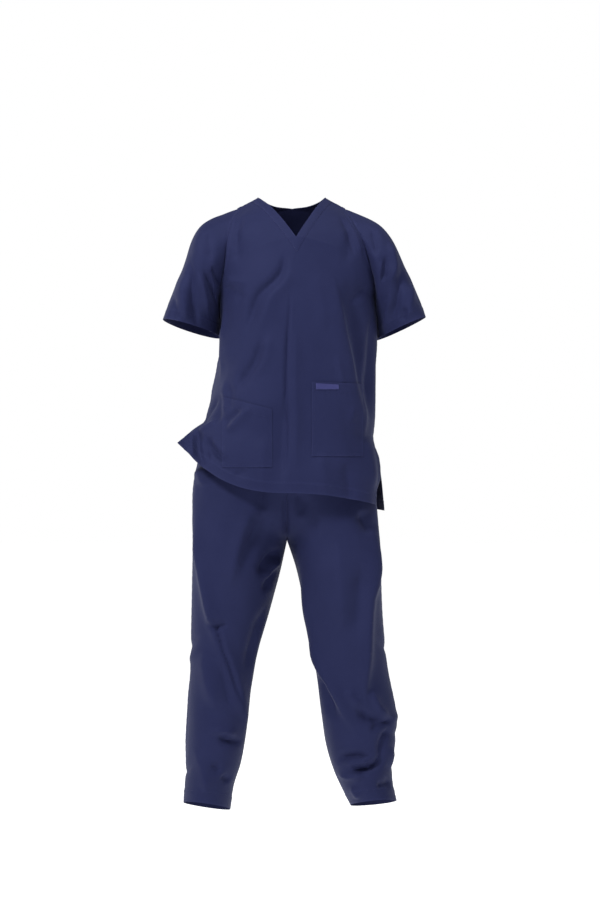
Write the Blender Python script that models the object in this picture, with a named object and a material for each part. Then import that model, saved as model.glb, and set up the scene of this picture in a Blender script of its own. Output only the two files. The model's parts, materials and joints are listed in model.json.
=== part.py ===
"""Medical scrubs: a V-necked, short-sleeved top worn over straight trousers.

The cloth is a hollow, standing form with nothing inside it. Every panel is a
surface lofted through short tables of sections, pushed into its largest folds,
given the thickness of the cloth, and kept a seam's gap clear of its neighbours.
Metres, +Z up, front facing -Y, the wearer's left at +X. The origin is midway
between the two points where the neckline meets the shoulder seams.
"""
import math

import bmesh
import bpy
import numpy as np
from mathutils import Vector
from mathutils.bvhtree import BVHTree

# ---------------------------------------------------------------- driving sizes
CLOTH = 0.0015          # wall of one layer of cloth
SEAM_GAP = 0.0003       # clear gap where two panels are sewn together
SLEEVE_STEP = 0.0007    # a sleeve's edge steps back more, as it meets the body sharply
LAY_GAP = 0.0008        # gap under a piece that lies on a panel
BAND_GAP = 0.0017       # and under the neck band, which bridges tighter curves
BAND_WIDTH = 0.018      # neck band
BAND_TALL = 0.036       # waistband, top to bottom
LABEL_WIDE, LABEL_TALL = 0.053, 0.013

# rows of each panel, from its hem up: the marks that several panels share
VENT, ARMPIT, VEE, BACK_NECK = 0.22, 0.60, 0.74, 0.88
CROTCH = 0.62
TOP_ROWS = [0, .055, .11, .165, VENT, .27, .32, .37, .42, .465, .51, .555,
            ARMPIT, .645, .69, VEE, .785, .82, .85, BACK_NECK, .92, .96, 1]
LEG_ROWS = [0, .04, .08, .13, .18, .23, .28, .33, .38, .43, .48, .53, .575,
            CROTCH, .65, .68, .72, .77, .82, .88, .94, 1]
TOP_COLUMNS = 10        # from the centre line to the side, each half
LEG_COLUMNS = 8
SLEEVE_STATIONS = 9

# ------------------------------------------------------- the top: edges (metres)
# columns: row, x, y, z
CENTRE_FRONT = [(0.00, -0.012, -0.150, -0.700),
                (VENT, -0.014, -0.143, -0.560),
                (0.42, -0.010, -0.133, -0.380),
                (ARMPIT, 0.000, -0.129, -0.215),
                (VEE, 0.012, -0.113, -0.102)]
NECK_FRONT = {"right": [(VEE, 0.012, -0.113, -0.102),
                        (0.80, -0.003, -0.103, -0.081),
                        (0.87, -0.028, -0.082, -0.049),
                        (0.94, -0.052, -0.046, -0.022),
                        (1.00, -0.078, 0.012, 0.000)],
              "left": [(VEE, 0.012, -0.113, -0.102),
                       (0.80, 0.022, -0.103, -0.085),
                       (0.87, 0.040, -0.082, -0.057),
                       (0.94, 0.060, -0.046, -0.026),
                       (1.00, 0.080, 0.012, 0.000)]}
CENTRE_BACK = [(0.00, -0.006, 0.150, -0.730),
               (VENT, -0.006, 0.138, -0.575),
               (0.42, -0.004, 0.118, -0.400),
               (ARMPIT, 0.000, 0.128, -0.235),
               (0.76, 0.002, 0.120, -0.110),
               (BACK_NECK, 0.002, 0.080, -0.020)]
NECK_BACK = {"right": [(BACK_NECK, 0.002, 0.080, -0.020),
                       (0.92, -0.036, 0.073, -0.016),
                       (0.96, -0.062, 0.049, -0.008),
                       (1.00, -0.078, 0.012, 0.000)],
             "left": [(BACK_NECK, 0.002, 0.080, -0.020),
                      (0.92, 0.039, 0.073, -0.016),
                      (0.96, 0.065, 0.049, -0.008),
                      (1.00, 0.080, 0.012, 0.000)]}
SIDE_SEAM = {"right": [(VENT, -0.204, -0.004, -0.530),
                       (0.32, -0.183, 0.002, -0.455),
                       (0.42, -0.170, 0.006, -0.385),
                       (0.51, -0.167, 0.010, -0.310),
                       (ARMPIT, -0.172, 0.012, -0.240)],
             "left": [(VENT, 0.195, 0.004, -0.572),
                      (0.32, 0.202, 0.006, -0.500),
                      (0.42, 0.204, 0.008, -0.420),
                      (0.51, 0.204, 0.010, -0.330),
                      (ARMPIT, 0.200, 0.012, -0.235)]}
VENT_FRONT = {"right": [(0.00, -0.266, -0.100, -0.583),
                        (0.11, -0.240, -0.052, -0.560)],
              "left": [(0.00, 0.199, -0.050, -0.728),
                       (0.11, 0.205, -0.024, -0.655)]}
VENT_BACK = {"right": [(0.00, -0.222, 0.074, -0.722),
                       (0.11, -0.216, 0.044, -0.632)],
             "left": [(0.00, 0.221, 0.036, -0.745),
                      (0.11, 0.212, 0.024, -0.660)]}
ARMHOLE_FRONT = {"right": [(0.66, -0.166, -0.030, -0.212),
                           (0.74, -0.156, -0.056, -0.162),
                           (0.83, -0.151, -0.064, -0.114),
                           (0.92, -0.143, -0.043, -0.066),
                           (1.00, -0.128, 0.014, -0.026)],
                 "left": [(0.66, 0.197, -0.028, -0.205),
                          (0.74, 0.184, -0.054, -0.157),
                          (0.83, 0.168, -0.062, -0.110),
                          (0.92, 0.148, -0.041, -0.065),
                          (1.00, 0.128, 0.014, -0.026)]}
ARMHOLE_BACK = {"right": [(0.66, -0.170, 0.054, -0.214),
                          (0.74, -0.163, 0.080, -0.168),
                          (0.83, -0.156, 0.087, -0.116),
                          (0.92, -0.145, 0.064, -0.064),
                          (1.00, -0.128, 0.014, -0.026)],
                "left": [(0.66, 0.198, 0.054, -0.210),
                         (0.74, 0.186, 0.080, -0.164),
                         (0.83, 0.170, 0.087, -0.114),
                         (0.92, 0.150, 0.064, -0.064),
                         (1.00, 0.128, 0.014, -0.026)]}
# how each row of the top runs from the centre to the side: how far it has
# turned from square to straight at each end, and how long it keeps to that
# columns: row, turn at centre, reach at centre, turn at side, reach at side
ROUND_FRONT = [(0.00, 0.00, 0.52, 0.00, 0.30),
               (VENT, 0.00, 0.52, 0.00, 0.36),
               (ARMPIT, 0.00, 0.55, 0.10, 0.30),
               (VEE, 0.25, 0.40, 0.45, 0.25),
               (0.87, 0.60, 0.36, 0.70, 0.30),
               (1.00, 1.00, 0.33, 1.00, 0.33)]
ROUND_BACK = [(0.00, 0.00, 0.54, 0.00, 0.34),
              (VENT, 0.00, 0.54, 0.00, 0.36),
              (ARMPIT, 0.00, 0.58, 0.10, 0.30),
              (0.76, 0.00, 0.50, 0.40, 0.20),
              (BACK_NECK, 0.20, 0.45, 0.60, 0.25),
              (1.00, 1.00, 0.33, 1.00, 0.33)]

# --------------------------------------------------------------- the sleeves
# rings from the armhole to the hem. columns: along, top x, top z, low x, low z,
# low y, front y, back y, how far the back hangs below the front
SLEEVE = {"right": [(0.25, -0.203, -0.0600, -0.1770, -0.260, 0.018, -0.080, 0.098, 0.000),
                    (0.42, -0.232, -0.0980, -0.1745, -0.276, 0.030, -0.078, 0.097, 0.002),
                    (0.60, -0.250, -0.1540, -0.1725, -0.290, 0.040, -0.074, 0.094, 0.004),
                    (0.80, -0.277, -0.2260, -0.1725, -0.311, 0.050, -0.066, 0.090, 0.008),
                    (1.00, -0.303, -0.2920, -0.1735, -0.331, 0.052, -0.058, 0.086, 0.014)],
          "left": [(0.25, 0.205, -0.0625, 0.2075, -0.256, 0.018, -0.078, 0.098, 0.000),
                   (0.42, 0.237, -0.0980, 0.2070, -0.275, 0.030, -0.076, 0.097, 0.001),
                   (0.60, 0.262, -0.1520, 0.2070, -0.292, 0.040, -0.072, 0.094, 0.002),
                   (0.80, 0.291, -0.2240, 0.2070, -0.315, 0.050, -0.064, 0.090, 0.004),
                   (1.00, 0.318, -0.2860, 0.2070, -0.337, 0.052, -0.058, 0.086, 0.006)]}

# -------------------------------------------------------------- the trousers
# columns: row, x, y, z
OUTSEAM = {"right": [(0.00, -0.256, 0.022, -1.440),
                     (0.13, -0.250, 0.018, -1.330),
                     (0.33, -0.240, 0.012, -1.120),
                     (0.48, -0.236, 0.004, -0.960),
                     (CROTCH, -0.234, -0.004, -0.840),
                     (0.77, -0.234, -0.006, -0.700),
                     (0.88, -0.210, 0.000, -0.590),
                     (1.00, -0.164, 0.004, -0.490)],
           "left": [(0.00, 0.250, 0.022, -1.436),
                    (0.08, 0.239, 0.020, -1.370),
                    (0.18, 0.253, 0.016, -1.250),
                    (0.33, 0.228, 0.012, -1.110),
                    (0.48, 0.216, 0.004, -0.960),
                    (CROTCH, 0.212, 0.000, -0.850),
                    (0.77, 0.202, 0.000, -0.710),
                    (0.88, 0.186, 0.002, -0.590),
                    (1.00, 0.164, 0.004, -0.490)]}
INSEAM = {"right": [(0.00, -0.145, 0.024, -1.456),
                    (0.06, -0.136, 0.022, -1.400),
                    (0.12, -0.120, 0.020, -1.345),
                    (0.18, -0.110, 0.018, -1.290),
                    (0.33, -0.090, 0.016, -1.130),
                    (0.48, -0.052, 0.018, -0.985),
                    (0.57, -0.025, 0.022, -0.885),
                    (CROTCH, -0.010, 0.028, -0.816)],
          "left": [(0.00, 0.142, 0.024, -1.446),
                   (0.06, 0.119, 0.022, -1.402),
                   (0.10, 0.103, 0.020, -1.365),
                   (0.18, 0.081, 0.018, -1.285),
                   (0.33, 0.058, 0.016, -1.120),
                   (0.48, 0.031, 0.018, -0.975),
                   (0.57, 0.011, 0.022, -0.880),
                   (CROTCH, -0.010, 0.028, -0.816)]}
FLY_SEAM = [(CROTCH, -0.010, 0.028, -0.816),
            (0.65, -0.010, -0.030, -0.797),
            (0.72, -0.010, -0.086, -0.740),
            (0.85, -0.010, -0.112, -0.620),
            (1.00, -0.010, -0.104, -0.490)]
SEAT_SEAM = [(CROTCH, -0.010, 0.028, -0.816),
             (0.65, -0.009, 0.080, -0.800),
             (0.72, -0.008, 0.114, -0.745),
             (0.85, -0.006, 0.126, -0.625),
             (1.00, -0.006, 0.104, -0.490)]
HEM_TILT = 0.20         # how far each hem drops from front to back, per metre of depth
# columns: row, swing of the inner end from sideways to square-on (degrees),
# reach of the inner end, reach of the outer end (metres)
ROUND_LEG_FRONT = [(0.00, 90, 0.110, 0.110),
                   (0.13, 90, 0.112, 0.112),
                   (0.33, 90, 0.118, 0.118),
                   (0.48, 88, 0.138, 0.140),
                   (CROTCH, 78, 0.158, 0.152),
                   (0.65, 46, 0.138, 0.128),
                   (0.68, 34, 0.128, 0.118),
                   (0.77, 6, 0.120, 0.088),
                   (0.86, 0, 0.110, 0.066),
                   (1.00, 0, 0.085, 0.062)]
ROUND_LEG_BACK = [(0.00, 90, 0.098, 0.098),
                  (0.13, 90, 0.105, 0.105),
                  (0.33, 90, 0.118, 0.118),
                  (0.48, 88, 0.138, 0.140),
                  (CROTCH, 78, 0.140, 0.132),
                  (0.65, 45, 0.116, 0.116),
                  (0.68, 34, 0.120, 0.110),
                  (0.77, 6, 0.125, 0.092),
                  (0.86, 0, 0.115, 0.070),
                  (1.00, 0, 0.090, 0.062)]

# ------------------------------------------------------------ pieces laid on
# columns: name, x from, x to, z bottom, z top, lean of the mouth (metres)
POCKETS = [("patch_pocket_left", 0.048, 0.168, -0.615, -0.443, 0.004),
           ("patch_pocket_right", -0.160, -0.044, -0.640, -0.490, 0.030)]
LABEL_AT = (0.058, -0.4525)      # left end and middle height on the left pocket

# ------------------------------------------------------------- largest folds
# columns: garment, side, x and z of one end, x and z of the other,
# half width, height (below zero for a trough)
FOLDS = [("top", "front", -0.016, -0.150, -0.010, -0.640, 0.022, -0.007),
         ("top", "front", -0.022, -0.140, -0.105, -0.330, 0.024, 0.006),
         ("top", "front", 0.098, -0.200, 0.172, -0.470, 0.024, 0.008),
         ("top", "front", 0.140, -0.230, 0.196, -0.560, 0.022, -0.007),
         ("top", "front", -0.190, -0.540, -0.205, -0.640, 0.016, -0.010),
         ("top", "back", -0.090, -0.220, -0.070, -0.660, 0.028, 0.008),
         ("top", "back", 0.085, -0.240, 0.100, -0.680, 0.030, 0.008),
         ("top", "back", 0.000, -0.300, 0.010, -0.700, 0.026, -0.007),
         ("legs", "front", -0.225, -0.820, -0.118, -1.210, 0.022, 0.009),
         ("legs", "front", -0.180, -0.960, -0.105, -1.230, 0.018, -0.007),
         ("legs", "front", 0.040, -1.020, 0.135, -1.250, 0.022, 0.009),
         ("legs", "front", 0.130, -1.345, 0.215, -1.325, 0.018, -0.008),
         ("legs", "front", -0.060, -0.740, -0.150, -0.960, 0.026, -0.007),
         ("legs", "back", -0.200, -1.020, -0.120, -1.140, 0.022, -0.008),
         ("legs", "back", 0.190, -1.020, 0.090, -1.140, 0.022, -0.008),
         ("legs", "back", 0.150, -0.780, 0.070, -0.900, 0.024, -0.007)]

# columns: material, red, green, blue (linear), roughness
COLOURS = {"cloth": (0.026, 0.031, 0.090, 0.72),
           "label": (0.140, 0.120, 0.290, 0.60)}

HALVES = {"right": -1.0, "left": 1.0}


# ------------------------------------------------------------------- curves
def through(table, rows):
    """Read a smooth curve through a table's rows, without overshooting them."""
    knots = np.array(table, float)
    s, values = knots[:, 0], knots[:, 1:]
    steps = np.diff(s)[:, None]
    slopes = np.diff(values, axis=0) / steps
    ends = np.empty_like(values)
    ends[0], ends[-1] = slopes[0], slopes[-1]
    before, after = slopes[:-1], slopes[1:]
    same_way = before * after > 0
    total = np.where(same_way, before + after, 1.0)
    ends[1:-1] = np.where(same_way, 2.0 * before * after / total, 0.0)
    rows = np.atleast_1d(np.asarray(rows, float))
    i = np.clip(np.searchsorted(s, rows, side="right") - 1, 0, len(s) - 2)
    width = (s[i + 1] - s[i])[:, None]
    t = np.clip((rows - s[i])[:, None] / width, 0.0, 1.0)
    return ((2 * t**3 - 3 * t**2 + 1) * values[i] + (t**3 - 2 * t**2 + t) * width * ends[i]
            + (3 * t**2 - 2 * t**3) * values[i + 1] + (t**3 - t**2) * width * ends[i + 1])


def unit(vectors):
    return vectors / np.maximum(np.linalg.norm(vectors, axis=-1, keepdims=True), 1e-9)


def bezier(start, leave, arrive, end, t):
    """Points at t along a cubic for every row at once: rows by columns by xyz."""
    t = t[None, :, None]
    start, leave, arrive, end = (p[:, None, :] for p in (start, leave, arrive, end))
    return ((1 - t)**3 * start + 3 * t * (1 - t)**2 * leave
            + 3 * t**2 * (1 - t) * arrive + t**3 * end)


# ------------------------------------------------------------------ surfaces
def top_half(face, half, rows, t):
    """One half of the top's front or back: rows by columns of points."""
    rows = np.asarray(rows, float)
    front = face == "front"
    centre = CENTRE_FRONT if front else CENTRE_BACK
    neck = (NECK_FRONT if front else NECK_BACK)[half]
    vent = (VENT_FRONT if front else VENT_BACK)[half]
    armhole = (ARMHOLE_FRONT if front else ARMHOLE_BACK)[half]
    split = VEE if front else BACK_NECK
    inner = np.where((rows <= split)[:, None], through(centre, rows), through(neck, rows))
    seam = SIDE_SEAM[half]
    outer = np.where((rows < VENT)[:, None], through(vent + seam[:1], rows),
                     through(seam, rows))
    outer = np.where((rows > ARMPIT)[:, None], through(seam[-1:] + armhole, rows), outer)
    turn_in, reach_in, turn_out, reach_out = through(
        ROUND_FRONT if front else ROUND_BACK, rows).T
    chord = outer - inner
    span = np.linalg.norm(chord, axis=1, keepdims=True)
    along = chord / span
    sideways = np.array([HALVES[half], 0.0, 0.0])
    square = np.array([0.0, -1.0 if front else 1.0, 0.0])
    leave = unit(sideways * (1 - turn_in[:, None]) + along * turn_in[:, None])
    arrive = unit(square * (1 - turn_out[:, None]) - along * turn_out[:, None])
    if front and half == "right":       # the hem corner that the pocketed hand lifts
        lifted = np.clip(1 - rows / VENT, 0, 1)[:, None]
        arrive = unit(arrive * (1 - lifted) + np.array([0.72, -0.10, -0.68]) * lifted)
    return bezier(inner, inner + leave * reach_in[:, None] * span,
                  outer + arrive * reach_out[:, None] * span, outer, np.asarray(t, float))


def leg_half(face, half, rows, t):
    """One trouser panel: rows by columns of points, inseam to outseam."""
    rows = np.asarray(rows, float)
    front = face == "front"
    seam = FLY_SEAM if front else SEAT_SEAM
    inner = np.where((rows <= CROTCH)[:, None], through(INSEAM[half], rows),
                     through(seam, rows))
    outer = through(OUTSEAM[half], rows)
    swing, reach_in, reach_out = through(ROUND_LEG_FRONT if front else ROUND_LEG_BACK, rows).T
    swing = np.radians(swing)
    ahead = -1.0 if front else 1.0
    leave = np.stack([HALVES[half] * np.cos(swing), ahead * np.sin(swing),
                      np.zeros_like(swing)], axis=1)
    arrive = np.array([0.0, ahead, 0.0])
    panel = bezier(inner, inner + leave * reach_in[:, None],
                   outer + arrive * reach_out[:, None], outer, np.asarray(t, float))
    near_hem = np.clip(1 - rows / 0.12, 0, 1)[:, None]
    panel[..., 2] -= HEM_TILT * near_hem * (panel[..., 1] - 0.022)
    return panel


def sleeve_rings(half, rows, stations):
    """Rings of a sleeve, from the armhole to the hem, each closed on itself."""
    arm_rows = np.array([r for r in rows if r >= ARMPIT])
    ahead = top_half("front", half, arm_rows, [1.0])[:, 0]
    behind = top_half("back", half, arm_rows, [1.0])[:, 0]
    loop = np.concatenate([ahead[::-1], behind[1:-1]])      # shoulder, front, armpit, back
    turn = np.linspace(0, 2 * math.pi, len(loop), endpoint=False)
    rings = [(0.0, loop)]
    for along, top_x, top_z, low_x, low_z, low_y, front_y, back_y, drop in SLEEVE[half]:
        lean = np.cos(turn)[:, None]
        middle = np.array([(top_x + low_x) / 2, (front_y + back_y) / 2, (top_z + low_z) / 2])
        upward = np.array([(top_x - low_x) / 2, middle[1] - low_y, (top_z - low_z) / 2])
        depth = np.stack([np.zeros_like(turn), -(back_y - front_y) / 2 * np.sin(turn),
                          drop / 2 * np.sin(turn)], axis=1)
        rings.append((along, middle + lean * upward + depth))
    table = [(along, *points.ravel()) for along, points in rings]
    return through(table, stations).reshape(len(stations), len(loop), 3)


# ------------------------------------------------------- patches of the cloth
class Patch:
    """A panel's surface before it has a thickness: points and triangles."""

    def __init__(self, name, garment):
        self.name, self.garment = name, garment
        self.points, self.faces, self.index = [], [], {}

    def vertex(self, point):
        key = tuple(np.round(point, 6))
        if key not in self.index:
            self.index[key] = len(self.points)
            self.points.append(np.array(point, float))
        return self.index[key]

    def add_grid(self, grid, flip, closed=False):
        ids = [[self.vertex(p) for p in row] for row in grid]
        if closed:
            ids = [row + row[:1] for row in ids]
        for lower, upper in zip(ids, ids[1:]):
            for a, b, c, d in zip(lower, lower[1:], upper[1:], upper):
                face = [a, b, c, d]
                face = [v for n, v in enumerate(face) if v != face[n - 1]]
                face = face[::-1] if flip else face
                self.faces += [[face[0], face[n], face[n + 1]] for n in range(1, len(face) - 1)]


def make_patches():
    patches = []
    t_top = np.linspace(0, 1, TOP_COLUMNS + 1)
    for face in ("front", "back"):
        patch = Patch("top_" + face, "top")
        for half, side in HALVES.items():
            flip = (side < 0) == (face == "front")
            patch.add_grid(top_half(face, half, TOP_ROWS, t_top), flip)
        patches.append(patch)
    stations = np.linspace(0, 1, SLEEVE_STATIONS)
    for half, side in HALVES.items():
        patch = Patch("sleeve_" + half, "top")
        patch.add_grid(sleeve_rings(half, TOP_ROWS, stations), side < 0, closed=True)
        patches.append(patch)
    t_leg = np.linspace(0, 1, LEG_COLUMNS + 1)
    for face in ("front", "back"):
        for half, side in HALVES.items():
            patch = Patch("trouser_" + face + "_" + half, "legs")
            flip = (side < 0) == (face == "front")
            patch.add_grid(leg_half(face, half, LEG_ROWS, t_leg), flip)
            patches.append(patch)
    waist = np.concatenate([leg_half("front", "right", [1.0], t_leg)[0][::-1],
                            leg_half("front", "left", [1.0], t_leg)[0][1:],
                            leg_half("back", "left", [1.0], t_leg)[0][::-1][1:],
                            leg_half("back", "right", [1.0], t_leg)[0][1:-1]])
    band = Patch("waistband", "legs")
    heights = np.linspace(0, BAND_TALL, 2)
    band.add_grid([waist + np.array([0, 0, h]) for h in heights], False, closed=True)
    patches.append(band)
    return patches


def face_normals(points, faces):
    normals = np.zeros((len(faces), 3))
    for n, face in enumerate(faces):
        ring = points[face]
        normals[n] = np.cross(ring, np.roll(ring, -1, axis=0)).sum(axis=0) / 2
    return normals


def shared_normals(patches):
    """Normals averaged over the panels that meet at a point, except in the sharp
    crease under each arm, where each panel keeps its own."""
    total, own = {}, []
    for patch in patches:
        points = np.array(patch.points)
        mine = np.zeros_like(points)
        for face, normal in zip(patch.faces, face_normals(points, patch.faces)):
            for v in face:
                mine[v] += normal
                key = tuple(np.round(points[v], 6))
                total[key] = total.get(key, 0) + normal
        own.append(unit(mine))
    chosen = []
    for patch, mine in zip(patches, own):
        shared = unit(np.array([total[tuple(np.round(p, 6))] for p in patch.points]))
        sharp = (shared * mine).sum(axis=1, keepdims=True) < (0.8 if patch.garment == "top" else -1)
        chosen.append(np.where(sharp, mine, shared))
    return chosen


def ease(x):
    x = np.clip(x, 0, 1)
    return x * x * (3 - 2 * x)


def fold_heights(points, normals, garment):
    """How far the cloth stands out of its plain form at each point."""
    height = np.zeros(len(points))
    for who, face, x0, z0, x1, z1, half_width, lift in FOLDS:
        if who != garment:
            continue
        start, end = np.array([x0, z0]), np.array([x1, z1])
        spot = points[:, [0, 2]] - start
        run = end - start
        length = np.linalg.norm(run)
        t = np.clip(spot @ run / length**2, 0, 1)
        away = np.linalg.norm(spot - t[:, None] * run, axis=1)
        facing = ease((-normals[:, 1] if face == "front" else normals[:, 1]) / 0.45)
        taper = ease(t / 0.25) * ease((1 - t) / 0.25)
        height += lift * np.exp(-(away / half_width)**2) * (0.25 + 0.75 * taper) * facing
    return height


# -------------------------------------------------------------------- solids
def border_moves(points, faces, gap):
    """Step each bare edge of a panel back from its seam by half the gap."""
    normals = unit(face_normals(points, faces))
    used = {}
    for n, face in enumerate(faces):
        for a, b in zip(face, face[1:] + face[:1]):
            used.setdefault((min(a, b), max(a, b)), []).append((a, b, n))
    inward, edges = {}, []
    for uses in used.values():
        if len(uses) == 1:
            a, b, n = uses[0]
            into = unit(np.cross(normals[n], points[b] - points[a]))
            edges.append((a, b))
            for v in (a, b):
                inward.setdefault(v, []).append(into)
    moves = np.zeros_like(points)
    for v, ways in inward.items():
        first, second = ways[0], ways[-1]
        moves[v] = gap * (first + second) / max(1 + float(first @ second), 0.35)
    return moves, edges


def material(name):
    made = bpy.data.materials.get(name)
    if made is None:
        red, green, blue, rough = COLOURS[name]
        made = bpy.data.materials.new(name)
        made.use_nodes = True
        shader = made.node_tree.nodes["Principled BSDF"]
        shader.inputs["Base Color"].default_value = (red, green, blue, 1)
        shader.inputs["Roughness"].default_value = rough
        shader.inputs["Metallic"].default_value = 0.0
        made.diffuse_color = (red, green, blue, 1)
    return made


def solid(name, points, faces, normals, lift, wall, colour, group, step=SEAM_GAP / 2):
    """Close a surface into cloth: its outer face stands lift above the points."""
    moves, edges = border_moves(points, faces, step)
    outer = points + moves + normals * lift
    inner = outer - normals * wall
    count = len(points)
    skin = [list(f) for f in faces] + [[v + count for v in f[::-1]] for f in faces]
    for a, b in edges:      # the two panels at a seam split their rims the same way
        if tuple(points[a]) < tuple(points[b]):
            skin += [[b, a, b + count], [a, a + count, b + count]]
        else:
            skin += [[b, a, a + count], [b, a + count, b + count]]
    mesh = bpy.data.meshes.new(name)
    mesh.from_pydata([tuple(p) for p in np.concatenate([outer, inner])], [], skin)
    mesh.shade_smooth()
    mesh.set_sharp_from_angle(angle=math.radians(50))
    mesh.materials.append(material(colour))
    piece = bpy.data.objects.new(name, mesh)
    group.objects.link(piece)
    return piece


def cut_out(points, faces, normals, x0, x1, z0, z1, lean):
    """Copy the part of a panel behind an upright rectangle with a leaning top."""
    bm = bmesh.new()
    out = bm.verts.layers.float_vector.new("out")
    corners = []
    for point, normal in zip(points, normals):
        vertex = bm.verts.new(point)
        vertex[out] = Vector(normal)
        corners.append(vertex)
    for face in faces:
        if points[face][:, 1].max() < 0:
            bm.faces.new([corners[v] for v in face])
    slope = Vector((lean, 0, x1 - x0)).normalized()
    sides = [(Vector((x0, 0, z0)), Vector((-1, 0, 0))), (Vector((x1, 0, z0)), Vector((1, 0, 0))),
             (Vector((x0, 0, z0)), Vector((0, 0, -1))),
             (Vector(((x0 + x1) / 2, 0, z1)), slope)]
    for spot, way in sides:
        everything = bm.verts[:] + bm.edges[:] + bm.faces[:]
        bmesh.ops.bisect_plane(bm, geom=everything, dist=1e-5, plane_co=spot, plane_no=way,
                               clear_outer=True)
    bmesh.ops.delete(bm, geom=[v for v in bm.verts if not v.link_faces], context="VERTS")
    bmesh.ops.remove_doubles(bm, verts=bm.verts[:], dist=5e-4)
    bm.verts.index_update()
    kept = (np.array([v.co[:] for v in bm.verts]),
            [[v.index for v in f.verts] for f in bm.faces],
            unit(np.array([v[out][:] for v in bm.verts])))
    bm.free()
    return kept


def neck_loop():
    """The neckline, once round from the foot of the V."""
    front, back = np.linspace(VEE, 1, 14), np.linspace(BACK_NECK, 1, 10)
    edges = {(face, half): top_half(face, half, rows, [0.0])[:, 0]
             for face, rows in (("front", front), ("back", back)) for half in HALVES}
    return np.concatenate([edges["front", "right"], edges["back", "right"][::-1][1:],
                           edges["back", "left"][1:], edges["front", "left"][::-1][1:-1]])


def neck_band_patch(tree):
    """A strip of even width that lies along the neckline, mitred under the V."""
    loop = neck_loop()
    ahead = unit(np.roll(loop, -1, axis=0) - loop)
    behind = unit(loop - np.roll(loop, 1, axis=0))
    along = unit(ahead + behind)
    normals = np.array([tree.find_nearest(Vector(p))[1] for p in loop])
    away = unit(np.cross(normals, along))
    outward = np.sign(((loop - loop.mean(axis=0)) * away).sum(axis=1))
    away *= (outward / (ahead * along).sum(axis=1))[:, None]
    band = Patch("neck_band", "top")
    columns = [[np.array(tree.find_nearest(Vector(p + d * BAND_WIDTH * share))[0])
                for p, d in zip(loop, away)] for share in (0, 0.3, 0.65, 1)]
    band.add_grid(columns, False, closed=True)
    return band


def build():
    for thing in list(bpy.data.objects):
        bpy.data.objects.remove(thing)
    group = bpy.data.collections.new("medical_scrubs")
    bpy.context.scene.collection.children.link(group)

    patches = make_patches()
    plain = shared_normals(patches)
    for patch, normals in zip(patches, plain):
        points = np.array(patch.points)
        heights = fold_heights(points, normals, patch.garment)
        patch.points = list(points + normals * heights[:, None])
    final = shared_normals(patches)
    for patch, normals in zip(patches, final):
        sharp = patch.name.startswith("sleeve")
        solid(patch.name, np.array(patch.points), patch.faces, normals, 0.0, CLOTH,
              "cloth", group, SLEEVE_STEP if sharp else SEAM_GAP / 2)

    front = patches[0]
    panel = np.array(front.points), front.faces, final[0]
    for name, x0, x1, z0, z1, lean in POCKETS:
        points, faces, normals = cut_out(*panel, x0, x1, z0, z1, lean)
        solid(name, points, faces, normals, LAY_GAP + CLOTH, CLOTH, "cloth", group)
    x0, middle = LABEL_AT
    points, faces, normals = cut_out(*panel, x0, x0 + LABEL_WIDE, middle - LABEL_TALL / 2,
                                     middle + LABEL_TALL / 2, 0.004)
    solid("label", points, faces, normals, 2 * (LAY_GAP + CLOTH) + LAY_GAP, CLOTH * 0.8,
          "label", group)
    back = patches[1]
    shift = len(front.points)
    around = BVHTree.FromPolygons([Vector(p) for p in front.points + back.points],
                                  front.faces + [[v + shift for v in f] for f in back.faces])
    band = neck_band_patch(around)
    normals = shared_normals([band])[0]
    solid("neck_band", np.array(band.points), band.faces, normals, BAND_GAP + CLOTH, CLOTH,
          "cloth", group)


build()
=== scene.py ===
# %% [markdown]
# # Medical scrubs: a V-necked, short-sleeved top over straight trousers
# The garments are worn on nobody: hollow cloth that keeps the form of a person
# who stands with one hand at the pocket. Everything is in metres, +Z is up, the
# front faces -Y, and the origin is midway between the tops of the shoulder seams.
# The fixed frame comes first. It holds one rigid body and one node per panel.

# %% The fixed frame
import json
import math

import bpy
import numpy as np
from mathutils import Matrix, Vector
from mathutils.bvhtree import BVHTree

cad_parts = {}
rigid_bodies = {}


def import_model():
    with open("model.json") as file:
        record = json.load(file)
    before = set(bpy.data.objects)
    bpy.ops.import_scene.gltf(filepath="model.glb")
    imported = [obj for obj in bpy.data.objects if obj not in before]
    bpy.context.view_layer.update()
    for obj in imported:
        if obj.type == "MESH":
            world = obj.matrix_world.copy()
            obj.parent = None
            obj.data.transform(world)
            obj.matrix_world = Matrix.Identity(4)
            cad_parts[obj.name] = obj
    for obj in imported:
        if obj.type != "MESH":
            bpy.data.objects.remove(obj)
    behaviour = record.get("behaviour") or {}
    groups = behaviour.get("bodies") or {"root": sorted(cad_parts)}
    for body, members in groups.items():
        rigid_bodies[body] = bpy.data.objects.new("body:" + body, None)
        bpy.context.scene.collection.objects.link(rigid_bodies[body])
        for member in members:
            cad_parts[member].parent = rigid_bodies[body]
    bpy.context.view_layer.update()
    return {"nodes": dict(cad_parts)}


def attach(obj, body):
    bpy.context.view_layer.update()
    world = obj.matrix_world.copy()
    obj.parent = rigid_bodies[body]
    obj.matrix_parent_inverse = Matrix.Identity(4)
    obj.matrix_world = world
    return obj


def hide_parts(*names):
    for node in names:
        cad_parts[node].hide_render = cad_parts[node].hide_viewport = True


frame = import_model()
print("nodes:", ", ".join(sorted(frame["nodes"])))

# %% [markdown]
# ## Floor, camera and light
# The garment was lit as catalogues light clothes: a white sweep, big soft boxes
# and hardly any shadow. A point light or a sun would give hard edges that soft
# cloth doesn't have here, so every lamp is a large area light, and a white world
# fills what they leave. The lamps stand off to the front, so that folds still
# have a lit and a shaded side.

# %% Floor, camera and light
SOLE = -1.532            # the floor lies below the trouser hems, where feet would stand


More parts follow.
